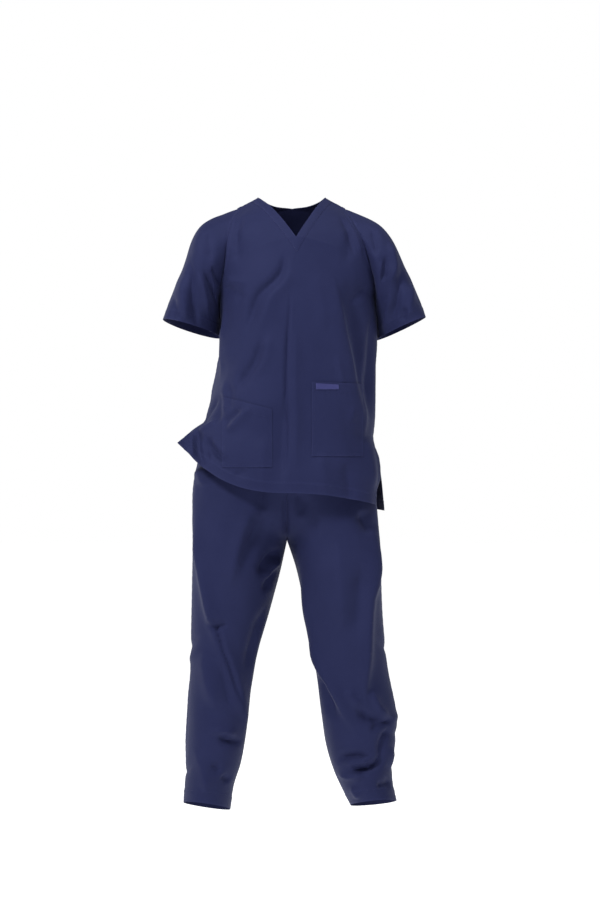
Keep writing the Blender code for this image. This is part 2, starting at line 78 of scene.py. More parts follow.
def lamp(name, place, target, size, watts, tone=(1, 1, 1)):
    """A square soft box that looks at a point."""
    data = bpy.data.lights.new(name, "AREA")
    data.shape, data.size, data.energy, data.color = "SQUARE", size, watts, tone
    made = bpy.data.objects.new(name, data)
    bpy.context.scene.collection.objects.link(made)
    made.location = place
    made.rotation_euler = (Vector(target) - Vector(place)).to_track_quat("-Z", "Y").to_euler()
    return made


bpy.ops.object.select_all(action="DESELECT")
bpy.ops.mesh.primitive_plane_add(size=40, location=(0, 0, SOLE))
floor = bpy.context.object
floor.name = "studio_floor"
paint = bpy.data.materials.new("studio_white")
paint.use_nodes = True
paint_shader = paint.node_tree.nodes["Principled BSDF"]
paint_shader.inputs["Base Color"].default_value = (0.60, 0.60, 0.60, 1)
paint_shader.inputs["Roughness"].default_value = 0.9
paint_shader.inputs["Specular IOR Level"].default_value = 0.1
paint_shader.inputs["Emission Color"].default_value = (1, 1, 1, 1)
paint_shader.inputs["Emission Strength"].default_value = 0.92    # lit from below as well
floor.data.materials.append(paint)

world = bpy.data.worlds.new("studio_world")
bpy.context.scene.world = world
world.use_nodes = True
sky = world.node_tree
backdrop = sky.nodes["Background"]
backdrop.inputs["Color"].default_value = (1, 1, 1, 1)
backdrop.inputs["Strength"].default_value = 1.0
dim = sky.nodes.new("ShaderNodeBackground")       # what the white walls give the cloth
dim.inputs["Color"].default_value = (0.96, 0.98, 1, 1)
dim.inputs["Strength"].default_value = 0.15
seen = sky.nodes.new("ShaderNodeLightPath")
either = sky.nodes.new("ShaderNodeMixShader")
sky.links.new(seen.outputs["Is Camera Ray"], either.inputs[0])
sky.links.new(dim.outputs[0], either.inputs[1])
sky.links.new(backdrop.outputs[0], either.inputs[2])
sky.links.new(either.outputs[0], sky.nodes["World Output"].inputs[0])
lamp("key_box", (-2.4, -2.6, 2.3), (0, 0, -0.5), 0.8, 150)
lamp("fill_box", (2.6, -4.2, 0.6), (0, 0, -0.7), 2.0, 3)
lamp("rim_left", (-2.4, 1.7, 0.2), (0, 0, -0.7), 1.6, 20)
lamp("rim_right", (2.4, 1.9, 0.2), (0, 0, -0.7), 1.6, 4)
lamp("top_box", (0.9, -1.2, 2.6), (0, 0, -0.2), 1.4, 62)
bpy.context.scene.view_settings.view_transform = "Standard"

view = bpy.data.cameras.new("front_view")
view.lens = 106.1
camera = bpy.data.objects.new("front_view", view)
camera.location = (0.021, -6.3, -0.60)
camera.rotation_euler = (math.radians(90), 0, 0)
bpy.context.scene.collection.objects.link(camera)
bpy.context.scene.camera = camera
print("camera", tuple(round(c, 3) for c in camera.location), "lens", round(view.lens, 1), "mm")

# %% [markdown]
# ## How the cloth is shaped
# A garment is flat pieces sewn edge to edge, so each panel here is one curved
# sheet between its seams. A simulation of cloth on a figure would need that
# figure, and it would slide off this pose. So each panel is lofted: short
# tables hold the seams as curves, every row runs from one seam to the other on
# a Bezier curve, and the folds are pressed in afterwards by listed sizes.
# These tables are the solids', read at a much finer spacing, except that
# the sleeves lie 3 to 7 mm nearer the body here.

# %% The seams of the top
VENT, ARMPIT, VEE, BACK_NECK, CROTCH = 0.22, 0.60, 0.74, 0.88, 0.62
CLOTH = 0.0012           # one layer of poplin, in metres
# columns: row, x, y, z
CENTRE_FRONT = [(0.00, -0.012, -0.150, -0.700),
                (VENT, -0.014, -0.143, -0.560),
                (0.42, -0.010, -0.133, -0.380),
                (ARMPIT, 0.000, -0.129, -0.215),
                (VEE, 0.012, -0.113, -0.102)]
NECK_FRONT = {"right": [(VEE, 0.012, -0.113, -0.102),
                        (0.80, -0.003, -0.103, -0.081),
                        (0.87, -0.028, -0.082, -0.049),
                        (0.94, -0.052, -0.046, -0.022),
                        (1.00, -0.078, 0.012, 0.000)],
              "left": [(VEE, 0.012, -0.113, -0.102),
                       (0.80, 0.022, -0.103, -0.085),
                       (0.87, 0.040, -0.082, -0.057),
                       (0.94, 0.060, -0.046, -0.026),
                       (1.00, 0.080, 0.012, 0.000)]}
CENTRE_BACK = [(0.00, -0.006, 0.150, -0.730),
               (VENT, -0.006, 0.138, -0.575),
               (0.42, -0.004, 0.118, -0.400),
               (ARMPIT, 0.000, 0.128, -0.235),
               (0.76, 0.002, 0.120, -0.110),
               (BACK_NECK, 0.002, 0.080, -0.020)]
NECK_BACK = {"right": [(BACK_NECK, 0.002, 0.080, -0.020),
                       (0.92, -0.036, 0.073, -0.016),
                       (0.96, -0.062, 0.049, -0.008),
                       (1.00, -0.078, 0.012, 0.000)],
             "left": [(BACK_NECK, 0.002, 0.080, -0.020),
                      (0.92, 0.039, 0.073, -0.016),
                      (0.96, 0.065, 0.049, -0.008),
                      (1.00, 0.080, 0.012, 0.000)]}
SIDE_SEAM = {"right": [(VENT, -0.204, -0.004, -0.530),
                       (0.32, -0.183, 0.002, -0.455),
                       (0.42, -0.170, 0.006, -0.385),
                       (0.51, -0.167, 0.010, -0.310),
                       (ARMPIT, -0.172, 0.012, -0.240)],
             "left": [(VENT, 0.195, 0.004, -0.572),
                      (0.32, 0.202, 0.006, -0.500),
                      (0.42, 0.204, 0.008, -0.420),
                      (0.51, 0.204, 0.010, -0.330),
                      (ARMPIT, 0.200, 0.012, -0.235)]}
VENT_FRONT = {"right": [(0.00, -0.266, -0.100, -0.583),
                        (0.11, -0.240, -0.052, -0.560)],
              "left": [(0.00, 0.199, -0.050, -0.728),
                       (0.11, 0.205, -0.024, -0.655)]}
VENT_BACK = {"right": [(0.00, -0.222, 0.074, -0.722),
                       (0.11, -0.216, 0.044, -0.632)],
             "left": [(0.00, 0.221, 0.036, -0.745),
                      (0.11, 0.212, 0.024, -0.660)]}
ARMHOLE_FRONT = {"right": [(0.66, -0.166, -0.030, -0.212),
                           (0.74, -0.156, -0.056, -0.162),
                           (0.83, -0.151, -0.064, -0.114),
                           (0.92, -0.143, -0.043, -0.066),
                           (1.00, -0.128, 0.014, -0.026)],
                 "left": [(0.66, 0.197, -0.028, -0.205),
                          (0.74, 0.184, -0.054, -0.157),
                          (0.83, 0.168, -0.062, -0.110),
                          (0.92, 0.148, -0.041, -0.065),
                          (1.00, 0.128, 0.014, -0.026)]}
ARMHOLE_BACK = {"right": [(0.66, -0.170, 0.054, -0.214),
                          (0.74, -0.163, 0.080, -0.168),
                          (0.83, -0.156, 0.087, -0.116),
                          (0.92, -0.145, 0.064, -0.064),
                          (1.00, -0.128, 0.014, -0.026)],
                "left": [(0.66, 0.198, 0.054, -0.210),
                         (0.74, 0.186, 0.080, -0.164),
                         (0.83, 0.170, 0.087, -0.114),
                         (0.92, 0.150, 0.064, -0.064),
                         (1.00, 0.128, 0.014, -0.026)]}
print(len(SIDE_SEAM), 'side seams,', len(CENTRE_FRONT), 'points down the front')

# %% How each row of the top bends round the body
# how each row of the top runs from the centre to the side: how far it has
# turned from square to straight at each end, and how long it keeps to that
# columns: row, turn at centre, reach at centre, turn at side, reach at side
ROUND_FRONT = [(0.00, 0.00, 0.52, 0.00, 0.30),
               (VENT, 0.00, 0.52, 0.00, 0.36),
               (ARMPIT, 0.00, 0.55, 0.10, 0.30),
               (VEE, 0.25, 0.40, 0.45, 0.25),
               (0.87, 0.60, 0.36, 0.70, 0.30),
               (1.00, 1.00, 0.33, 1.00, 0.33)]
ROUND_BACK = [(0.00, 0.00, 0.54, 0.00, 0.34),
              (VENT, 0.00, 0.54, 0.00, 0.36),
              (ARMPIT, 0.00, 0.58, 0.10, 0.30),
              (0.76, 0.00, 0.50, 0.40, 0.20),
              (BACK_NECK, 0.20, 0.45, 0.60, 0.25),
              (1.00, 1.00, 0.33, 1.00, 0.33)]
print('rows bend by', len(ROUND_FRONT), 'front and', len(ROUND_BACK), 'back settings')

# %% The rings of the sleeves
# rings from the armhole to the hem. columns: along, top x, top z, low x, low z,
# low y, front y, back y, how far the back hangs below the front
SLEEVE = {"right": [(0.25, -0.203, -0.0600, -0.1702, -0.260, 0.020, -0.080, 0.098, 0.000),
                    (0.42, -0.232, -0.0980, -0.1674, -0.276, 0.032, -0.078, 0.097, 0.002),
                    (0.60, -0.250, -0.1540, -0.1672, -0.290, 0.040, -0.074, 0.094, 0.004),
                    (0.80, -0.277, -0.2260, -0.1672, -0.311, 0.050, -0.066, 0.090, 0.008),
                    (1.00, -0.303, -0.2920, -0.1690, -0.331, 0.052, -0.058, 0.086, 0.014)],
          "left": [(0.25, 0.205, -0.0625, 0.2012, -0.256, 0.020, -0.078, 0.098, 0.000),
                   (0.42, 0.237, -0.0980, 0.2008, -0.275, 0.032, -0.076, 0.097, 0.001),
                   (0.60, 0.262, -0.1520, 0.2024, -0.292, 0.040, -0.072, 0.094, 0.002),
                   (0.80, 0.291, -0.2240, 0.2030, -0.315, 0.050, -0.064, 0.090, 0.004),
                   (1.00, 0.318, -0.2860, 0.2040, -0.337, 0.052, -0.058, 0.086, 0.006)]}
print('sleeves:', ', '.join(SLEEVE))

# %% The seams of the trousers
# columns: row, x, y, z
OUTSEAM = {"right": [(0.00, -0.256, 0.022, -1.440),
                     (0.13, -0.250, 0.018, -1.330),
                     (0.33, -0.240, 0.012, -1.120),
                     (0.48, -0.236, 0.004, -0.960),
                     (CROTCH, -0.234, -0.004, -0.840),
                     (0.77, -0.234, -0.006, -0.700),
                     (0.88, -0.210, 0.000, -0.590),
                     (1.00, -0.164, 0.004, -0.490)],
           "left": [(0.00, 0.250, 0.022, -1.436),
                    (0.08, 0.239, 0.020, -1.370),
                    (0.18, 0.253, 0.016, -1.250),
                    (0.33, 0.228, 0.012, -1.110),
                    (0.48, 0.216, 0.004, -0.960),
                    (CROTCH, 0.212, 0.000, -0.850),
                    (0.77, 0.202, 0.000, -0.710),
                    (0.88, 0.186, 0.002, -0.590),
                    (1.00, 0.164, 0.004, -0.490)]}
INSEAM = {"right": [(0.00, -0.145, 0.024, -1.456),
                    (0.06, -0.136, 0.022, -1.400),
                    (0.12, -0.120, 0.020, -1.345),
                    (0.18, -0.110, 0.018, -1.290),
                    (0.33, -0.090, 0.016, -1.130),
                    (0.48, -0.052, 0.018, -0.985),
                    (0.57, -0.025, 0.022, -0.885),
                    (CROTCH, -0.010, 0.028, -0.816)],
          "left": [(0.00, 0.142, 0.024, -1.446),
                   (0.06, 0.119, 0.022, -1.402),
                   (0.10, 0.103, 0.020, -1.365),
                   (0.18, 0.081, 0.018, -1.285),
                   (0.33, 0.058, 0.016, -1.120),
                   (0.48, 0.031, 0.018, -0.975),
                   (0.57, 0.011, 0.022, -0.880),
                   (CROTCH, -0.010, 0.028, -0.816)]}
FLY_SEAM = [(CROTCH, -0.010, 0.028, -0.816),
            (0.65, -0.010, -0.030, -0.797),
            (0.72, -0.010, -0.086, -0.740),
            (0.85, -0.010, -0.112, -0.620),
            (1.00, -0.010, -0.104, -0.490)]
SEAT_SEAM = [(CROTCH, -0.010, 0.028, -0.816),
             (0.65, -0.009, 0.080, -0.800),
             (0.72, -0.008, 0.114, -0.745),
             (0.85, -0.006, 0.126, -0.625),
             (1.00, -0.006, 0.104, -0.490)]
HEM_TILT = 0.20         # how far each hem drops from front to back, per metre of depth
# columns: row, swing of the inner end from sideways to square-on (degrees),
# reach of the inner end, reach of the outer end (metres)
ROUND_LEG_FRONT = [(0.00, 90, 0.110, 0.110),
                   (0.13, 90, 0.112, 0.112),
                   (0.33, 90, 0.118, 0.118),
                   (0.48, 88, 0.138, 0.140),
                   (CROTCH, 78, 0.158, 0.152),
                   (0.65, 46, 0.138, 0.128),
                   (0.68, 34, 0.128, 0.118),
                   (0.77, 6, 0.120, 0.088),
                   (0.86, 0, 0.110, 0.066),
                   (1.00, 0, 0.085, 0.062)]
ROUND_LEG_BACK = [(0.00, 90, 0.098, 0.098),
                  (0.13, 90, 0.105, 0.105),
                  (0.33, 90, 0.118, 0.118),
                  (0.48, 88, 0.138, 0.140),
                  (CROTCH, 78, 0.140, 0.132),
                  (0.65, 45, 0.116, 0.116),
                  (0.68, 34, 0.120, 0.110),
                  (0.77, 6, 0.125, 0.092),
                  (0.86, 0, 0.115, 0.070),
                  (1.00, 0, 0.090, 0.062)]
print('trouser seams:', ', '.join(OUTSEAM))

# %% Curves through a table, and across from seam to seam
HALVES = {"right": -1.0, "left": 1.0}      # the wearer's right is at -X


def through(table, rows):
    """Read a smooth curve through a table's rows, without overshooting them."""
    knots = np.array(table, float)
    s, values = knots[:, 0], knots[:, 1:]
    steps = np.diff(s)[:, None]
    slopes = np.diff(values, axis=0) / steps
    ends = np.empty_like(values)
    ends[0], ends[-1] = slopes[0], slopes[-1]
    before, after = slopes[:-1], slopes[1:]
    same_way = before * after > 0
    total = np.where(same_way, before + after, 1.0)
    ends[1:-1] = np.where(same_way, 2.0 * before * after / total, 0.0)
    rows = np.atleast_1d(np.asarray(rows, float))
    i = np.clip(np.searchsorted(s, rows, side="right") - 1, 0, len(s) - 2)
    width = (s[i + 1] - s[i])[:, None]
    t = np.clip((rows - s[i])[:, None] / width, 0.0, 1.0)
    return ((2 * t**3 - 3 * t**2 + 1) * values[i] + (t**3 - 2 * t**2 + t) * width * ends[i]
            + (3 * t**2 - 2 * t**3) * values[i + 1] + (t**3 - t**2) * width * ends[i + 1])


def unit(vectors):
    return vectors / np.maximum(np.linalg.norm(vectors, axis=-1, keepdims=True), 1e-9)


def bezier(start, leave, arrive, end, t):
    """Points at t along a cubic for every row at once: rows by columns by xyz."""
    t = t[None, :, None]
    start, leave, arrive, end = (p[:, None, :] for p in (start, leave, arrive, end))
    return ((1 - t)**3 * start + 3 * t * (1 - t)**2 * leave
            + 3 * t**2 * (1 - t) * arrive + t**3 * end)


print('the side seam at half height:', through(SIDE_SEAM['left'], 0.42)[0].round(3))

# %% The surface of the top
def top_half(face, half, rows, t):
    """One half of the top's front or back: rows by columns of points."""
    rows = np.asarray(rows, float)
    front = face == "front"
    centre = CENTRE_FRONT if front else CENTRE_BACK
    neck = (NECK_FRONT if front else NECK_BACK)[half]
    vent = (VENT_FRONT if front else VENT_BACK)[half]
    armhole = (ARMHOLE_FRONT if front else ARMHOLE_BACK)[half]
    split = VEE if front else BACK_NECK
    inner = np.where((rows <= split)[:, None], through(centre, rows), through(neck, rows))
    seam = SIDE_SEAM[half]
    outer = np.where((rows < VENT)[:, None], through(vent + seam[:1], rows),
                     through(seam, rows))
    outer = np.where((rows > ARMPIT)[:, None], through(seam[-1:] + armhole, rows), outer)
    turn_in, reach_in, turn_out, reach_out = through(
        ROUND_FRONT if front else ROUND_BACK, rows).T
    chord = outer - inner
    span = np.linalg.norm(chord, axis=1, keepdims=True)
    along = chord / span
    sideways = np.array([HALVES[half], 0.0, 0.0])
    square = np.array([0.0, -1.0 if front else 1.0, 0.0])
    leave = unit(sideways * (1 - turn_in[:, None]) + along * turn_in[:, None])
    arrive = unit(square * (1 - turn_out[:, None]) - along * turn_out[:, None])
    if front and half == "right":       # the hem corner that the pocketed hand lifts
        lifted = np.clip(1 - rows / VENT, 0, 1)[:, None]
        arrive = unit(arrive * (1 - lifted) + np.array([0.72, -0.10, -0.68]) * lifted)
    return bezier(inner, inner + leave * reach_in[:, None] * span,
                  outer + arrive * reach_out[:, None] * span, outer, np.asarray(t, float))


print('front hem corner:', top_half('front', 'left', [0], [1])[0, 0].round(3))

# %% The surface of a trouser leg
def leg_half(face, half, rows, t):
    """One trouser panel: rows by columns of points, inseam to outseam."""
    rows = np.asarray(rows, float)
    front = face == "front"
    seam = FLY_SEAM if front else SEAT_SEAM
    inner = np.where((rows <= CROTCH)[:, None], through(INSEAM[half], rows),
                     through(seam, rows))
    outer = through(OUTSEAM[half], rows)
    swing, reach_in, reach_out = through(ROUND_LEG_FRONT if front else ROUND_LEG_BACK, rows).T
    swing = np.radians(swing)
    ahead = -1.0 if front else 1.0
    leave = np.stack([HALVES[half] * np.cos(swing), ahead * np.sin(swing),
                      np.zeros_like(swing)], axis=1)
    arrive = np.array([0.0, ahead, 0.0])
    panel = bezier(inner, inner + leave * reach_in[:, None],
                   outer + arrive * reach_out[:, None], outer, np.asarray(t, float))
    near_hem = np.clip(1 - rows / 0.12, 0, 1)[:, None]
    panel[..., 2] -= HEM_TILT * near_hem * (panel[..., 1] - 0.022)
    return panel


print('trouser hem corner:', leg_half('front', 'left', [0], [1])[0, 0].round(3))

# %% The surface of a sleeve
def sleeve_rings(half, rows, stations):
    """Rings of a sleeve, from the armhole to the hem, each closed on itself."""
    arm_rows = np.array([r for r in rows if r >= ARMPIT])
    ahead = top_half("front", half, arm_rows, [1.0])[:, 0]
    behind = top_half("back", half, arm_rows, [1.0])[:, 0]
    loop = np.concatenate([ahead[::-1], behind[1:-1]])      # shoulder, front, armpit, back
    turn = np.linspace(0, 2 * math.pi, len(loop), endpoint=False)
    rings = [(0.0, loop)]
    for along, top_x, top_z, low_x, low_z, low_y, front_y, back_y, drop in SLEEVE[half]:
        lean = np.cos(turn)[:, None]
        middle = np.array([(top_x + low_x) / 2, (front_y + back_y) / 2, (top_z + low_z) / 2])
        upward = np.array([(top_x - low_x) / 2, middle[1] - low_y, (top_z - low_z) / 2])
        depth = np.stack([np.zeros_like(turn), -(back_y - front_y) / 2 * np.sin(turn),
                          drop / 2 * np.sin(turn)], axis=1)
        rings.append((along, middle + lean * upward + depth))
    table = [(along, *points.ravel()) for along, points in rings]
    return through(table, stations).reshape(len(stations), len(loop), 3)


print('sleeve rings go from the armhole to the hem')

# %% [markdown]
# ## A panel as a fine sheet
# A solid in the frame has cells a few centimetres wide. Here each cell is about
# 4 mm, small enough for a crease to roll over several of them. A panel keeps
# its grids, so that an edge, a hem line or the flat cloth can be found by
# counting rows. Every corner gets its place on the flat cloth as a UV, in
# metres, and the weave is drawn on that.

# %% Rows at an even spacing that keep every mark
def spaced(marks, per_unit):
    """Values from the first mark to the last, with each mark among them."""
    runs = [np.linspace(a, b, max(2, math.ceil((b - a) * per_unit) + 1))[:-1]
            for a, b in zip(marks, marks[1:])]
    return np.concatenate(runs + [[marks[-1]]])


TOP_ROWS = spaced([0, 0.024, 0.040, VENT, ARMPIT, 0.66, VEE, BACK_NECK, 1], 190)
LEG_ROWS = spaced([0, CROTCH, 1], 235)
TOP_ACROSS, LEG_ACROSS = spaced([0, 0.10, 1], 70), spaced([0, 0.08, 1], 52)
TOP_ACROSS = np.union1d(TOP_ACROSS, spaced([0, 0.10], 140))
SLEEVE_STATIONS = np.linspace(0, 1, 78)
print(len(TOP_ROWS), "rows in the top,", len(LEG_ROWS), "in each leg")


# %% A sheet and its grids
class Sheet:
    """One cut piece before it has a thickness."""

    def __init__(self, name, garment):
        self.name, self.garment, self.grids = name, garment, []

    def add(self, grid, flip, closed=False):
        self.grids.append((grid, flip, closed))
        return self

    def weld(self):
        """Join the grids where they meet, and lay every corner out flat."""
        every = np.concatenate([grid.reshape(-1, 3) for grid, _, _ in self.grids])
        _, first, back = np.unique(np.round(every, 6), axis=0,
                                   return_index=True, return_inverse=True)
        self.points, back = every[first], back.ravel()
        self.ids, quads, flats, start = [], [], [], 0
        for grid, flip, closed in self.grids:
            rows, columns = grid.shape[:2]
            ids = back[start:start + rows * columns].reshape(rows, columns)
            start += rows * columns
            self.ids.append(ids)
            if closed:
                ids = np.concatenate([ids, ids[:, :1]], axis=1)
                grid = np.concatenate([grid, grid[:, :1]], axis=1)
            across = np.cumsum(np.linalg.norm(np.diff(grid, axis=1), axis=2), axis=1)
            across = np.pad(across, ((0, 0), (1, 0))) * (-1 if flip else 1)
            up = np.cumsum(np.linalg.norm(np.diff(grid, axis=0), axis=2).mean(axis=1))
            up = np.pad(up, (1, 0))[:, None] + 0 * across
            flat = np.stack([across, up], axis=-1)
            for group, out in ((ids[..., None], quads), (flat, flats)):
                cells = np.stack([group[:-1, :-1], group[:-1, 1:], group[1:, 1:],
                                  group[1:, :-1]], axis=2)
                cells = cells.reshape(-1, 4, group.shape[-1])
                out.append(cells[:, ::-1] if flip else cells)
        self.quads, self.flat = np.concatenate(quads)[..., 0], np.concatenate(flats)
        # per point, the strength of the painted highlight along edges and hems
        self.edge = np.zeros(len(self.points))
        return self

    def spread(self, values):
        """Put one value per grid point onto the sheet's own points."""
        whole = np.zeros(len(self.points))
        for ids, value in zip(self.ids, values):
            whole[ids] = value
        return whole


def cross_normals(points, quads):
    """The average way out at each point."""
    corner = points[quads]
    ways = np.cross(corner[:, 2] - corner[:, 0], corner[:, 3] - corner[:, 1])
    total = np.zeros_like(points)
    for n in range(4):
        np.add.at(total, quads[:, n], ways)
    return total


def shared_normals(sheets):
    """Normals averaged across each seam, but not in the sharp crease under an arm."""
    every = np.concatenate([s.plain for s in sheets])
    keys = np.unique(np.round(every, 6), axis=0, return_inverse=True)[1].ravel()
    own = [cross_normals(s.points, s.quads) for s in sheets]
    total = np.zeros((keys.max() + 1, 3))
    np.add.at(total, keys, np.concatenate(own))
    start = 0
    for sheet, mine in zip(sheets, own):
        shared = unit(total[keys[start:start + len(mine)]])
        start += len(mine)
        mine = unit(mine)
        sharp = (shared * mine).sum(axis=1, keepdims=True) < (
            0.8 if sheet.garment == "top" else -1)
        sheet.normals = np.where(sharp, mine, shared)


print("sheets are welded grids with a flat layout")

# %% The cut pieces
sheets = {}


def ease(x):
    x = np.clip(x, 0, 1)
    return x * x * (3 - 2 * x)



def cut(name, garment):
    sheets[name] = Sheet(name, garment)
    return sheets[name]


def eased(grid):
    """Smooth a leg along its length, away from the seam at its inner edge."""
    soft = grid.copy()
    for _ in range(60):
        soft[1:-1] = (soft[:-2] + 2 * soft[1:-1] + soft[2:]) / 4
    share = ease(LEG_ACROSS / 0.16)[None, :, None]
    return grid * (1 - share) + soft * share


for face in ("front", "back"):
    panel = cut("top_" + face, "top")
    for half, side in HALVES.items():
        panel.add(top_half(face, half, TOP_ROWS, TOP_ACROSS), (side < 0) == (face == "front"))
for half, side in HALVES.items():
    cut("sleeve_" + half, "top").add(sleeve_rings(half, TOP_ROWS, SLEEVE_STATIONS),
                                     side < 0, closed=True)
for face in ("front", "back"):
    for half, side in HALVES.items():
        cut("trouser_" + face + "_" + half, "legs").add(
            eased(leg_half(face, half, LEG_ROWS, LEG_ACROSS)), (side < 0) == (face == "front"))
for sheet in sheets.values():
    sheet.weld()
    sheet.plain = sheet.points.copy()
for garment in ("top", "legs"):
    shared_normals([s for s in sheets.values() if s.garment == garment])
print({name: len(s.quads) for name, s in sheets.items()})

# %% [markdown]
# ## Folds
# Worn cloth hangs from a few points and folds between them. The top hangs from
# the shoulders, so long soft folds run down from the chest, and short sharp
# creases gather at each armpit and at the pocket where the hand pulls. The
# trousers break over the knees and at the shoe. Each fold is one line of sizes:
# the points it runs through, its half width, how far it stands out, and which
# side of it is steeper. It is longest and highest in the middle and fades at
# both ends, so no two folds come out alike.

# %% Press a list of folds into a face of the garment
# which two coordinates a fold's points are given in, and the way that face looks
LOOKS = {"front": ([0, 2], (0, -1, 0)), "back": ([0, 2], (0, 1, 0)),
         "right": ([1, 2], (-1, 0, 0)), "left": ([1, 2], (1, 0, 0))}


# how much deeper the folds of each kind of piece stand than their tables say
FULL = {"top": 1.9, "sle": 2.1, "tro": 2.5}


def press(sheet, face, folds):
    """Add to the sheet's heights what each fold lifts or sinks."""
    axes, toward = LOOKS[face]
    flat, facing = sheet.points[:, axes], ease(sheet.normals @ np.array(toward) / 0.45)
    for path, half_width, lift, lean in folds:
        knots = np.array(path, float)
        run = np.append(0, np.cumsum(np.linalg.norm(np.diff(knots, axis=0), axis=1)))
        line = through(np.column_stack([run / run[-1], knots]), np.linspace(0, 1, 15))
        reach = 2.6 * half_width * (1 + abs(lean))
        near = np.flatnonzero(((flat > line.min(axis=0) - reach)
                               & (flat < line.max(axis=0) + reach)).all(axis=1) & (facing > 0))
        if len(near) == 0:
            continue
        spot, best = flat[near], np.full(len(near), 9.0)
        along, side = np.zeros(len(near)), np.zeros(len(near))
        for n, (a, b) in enumerate(zip(line, line[1:])):
            step = b - a
            t = np.clip((spot - a) @ step / (step @ step), 0, 1)
            off = spot - a - t[:, None] * step
            far = np.linalg.norm(off, axis=1)
            closer = far < best
            best = np.where(closer, far, best)
            along = np.where(closer, (n + t) / (len(line) - 1), along)
            side = np.where(closer, np.sign(step[0] * off[:, 1] - step[1] * off[:, 0]), side)
        taper = ease(along / 0.32) * ease((1 - along) / 0.32)
        wide = half_width * (1 + lean * side) * (0.55 + 0.45 * taper)
        form = np.exp(-(best / wide)**1.6) * taper * facing[near]
        sheet.height[near] += FULL[sheet.name[:3]] * lift * form


print("folds can be pressed into", ", ".join(LOOKS))

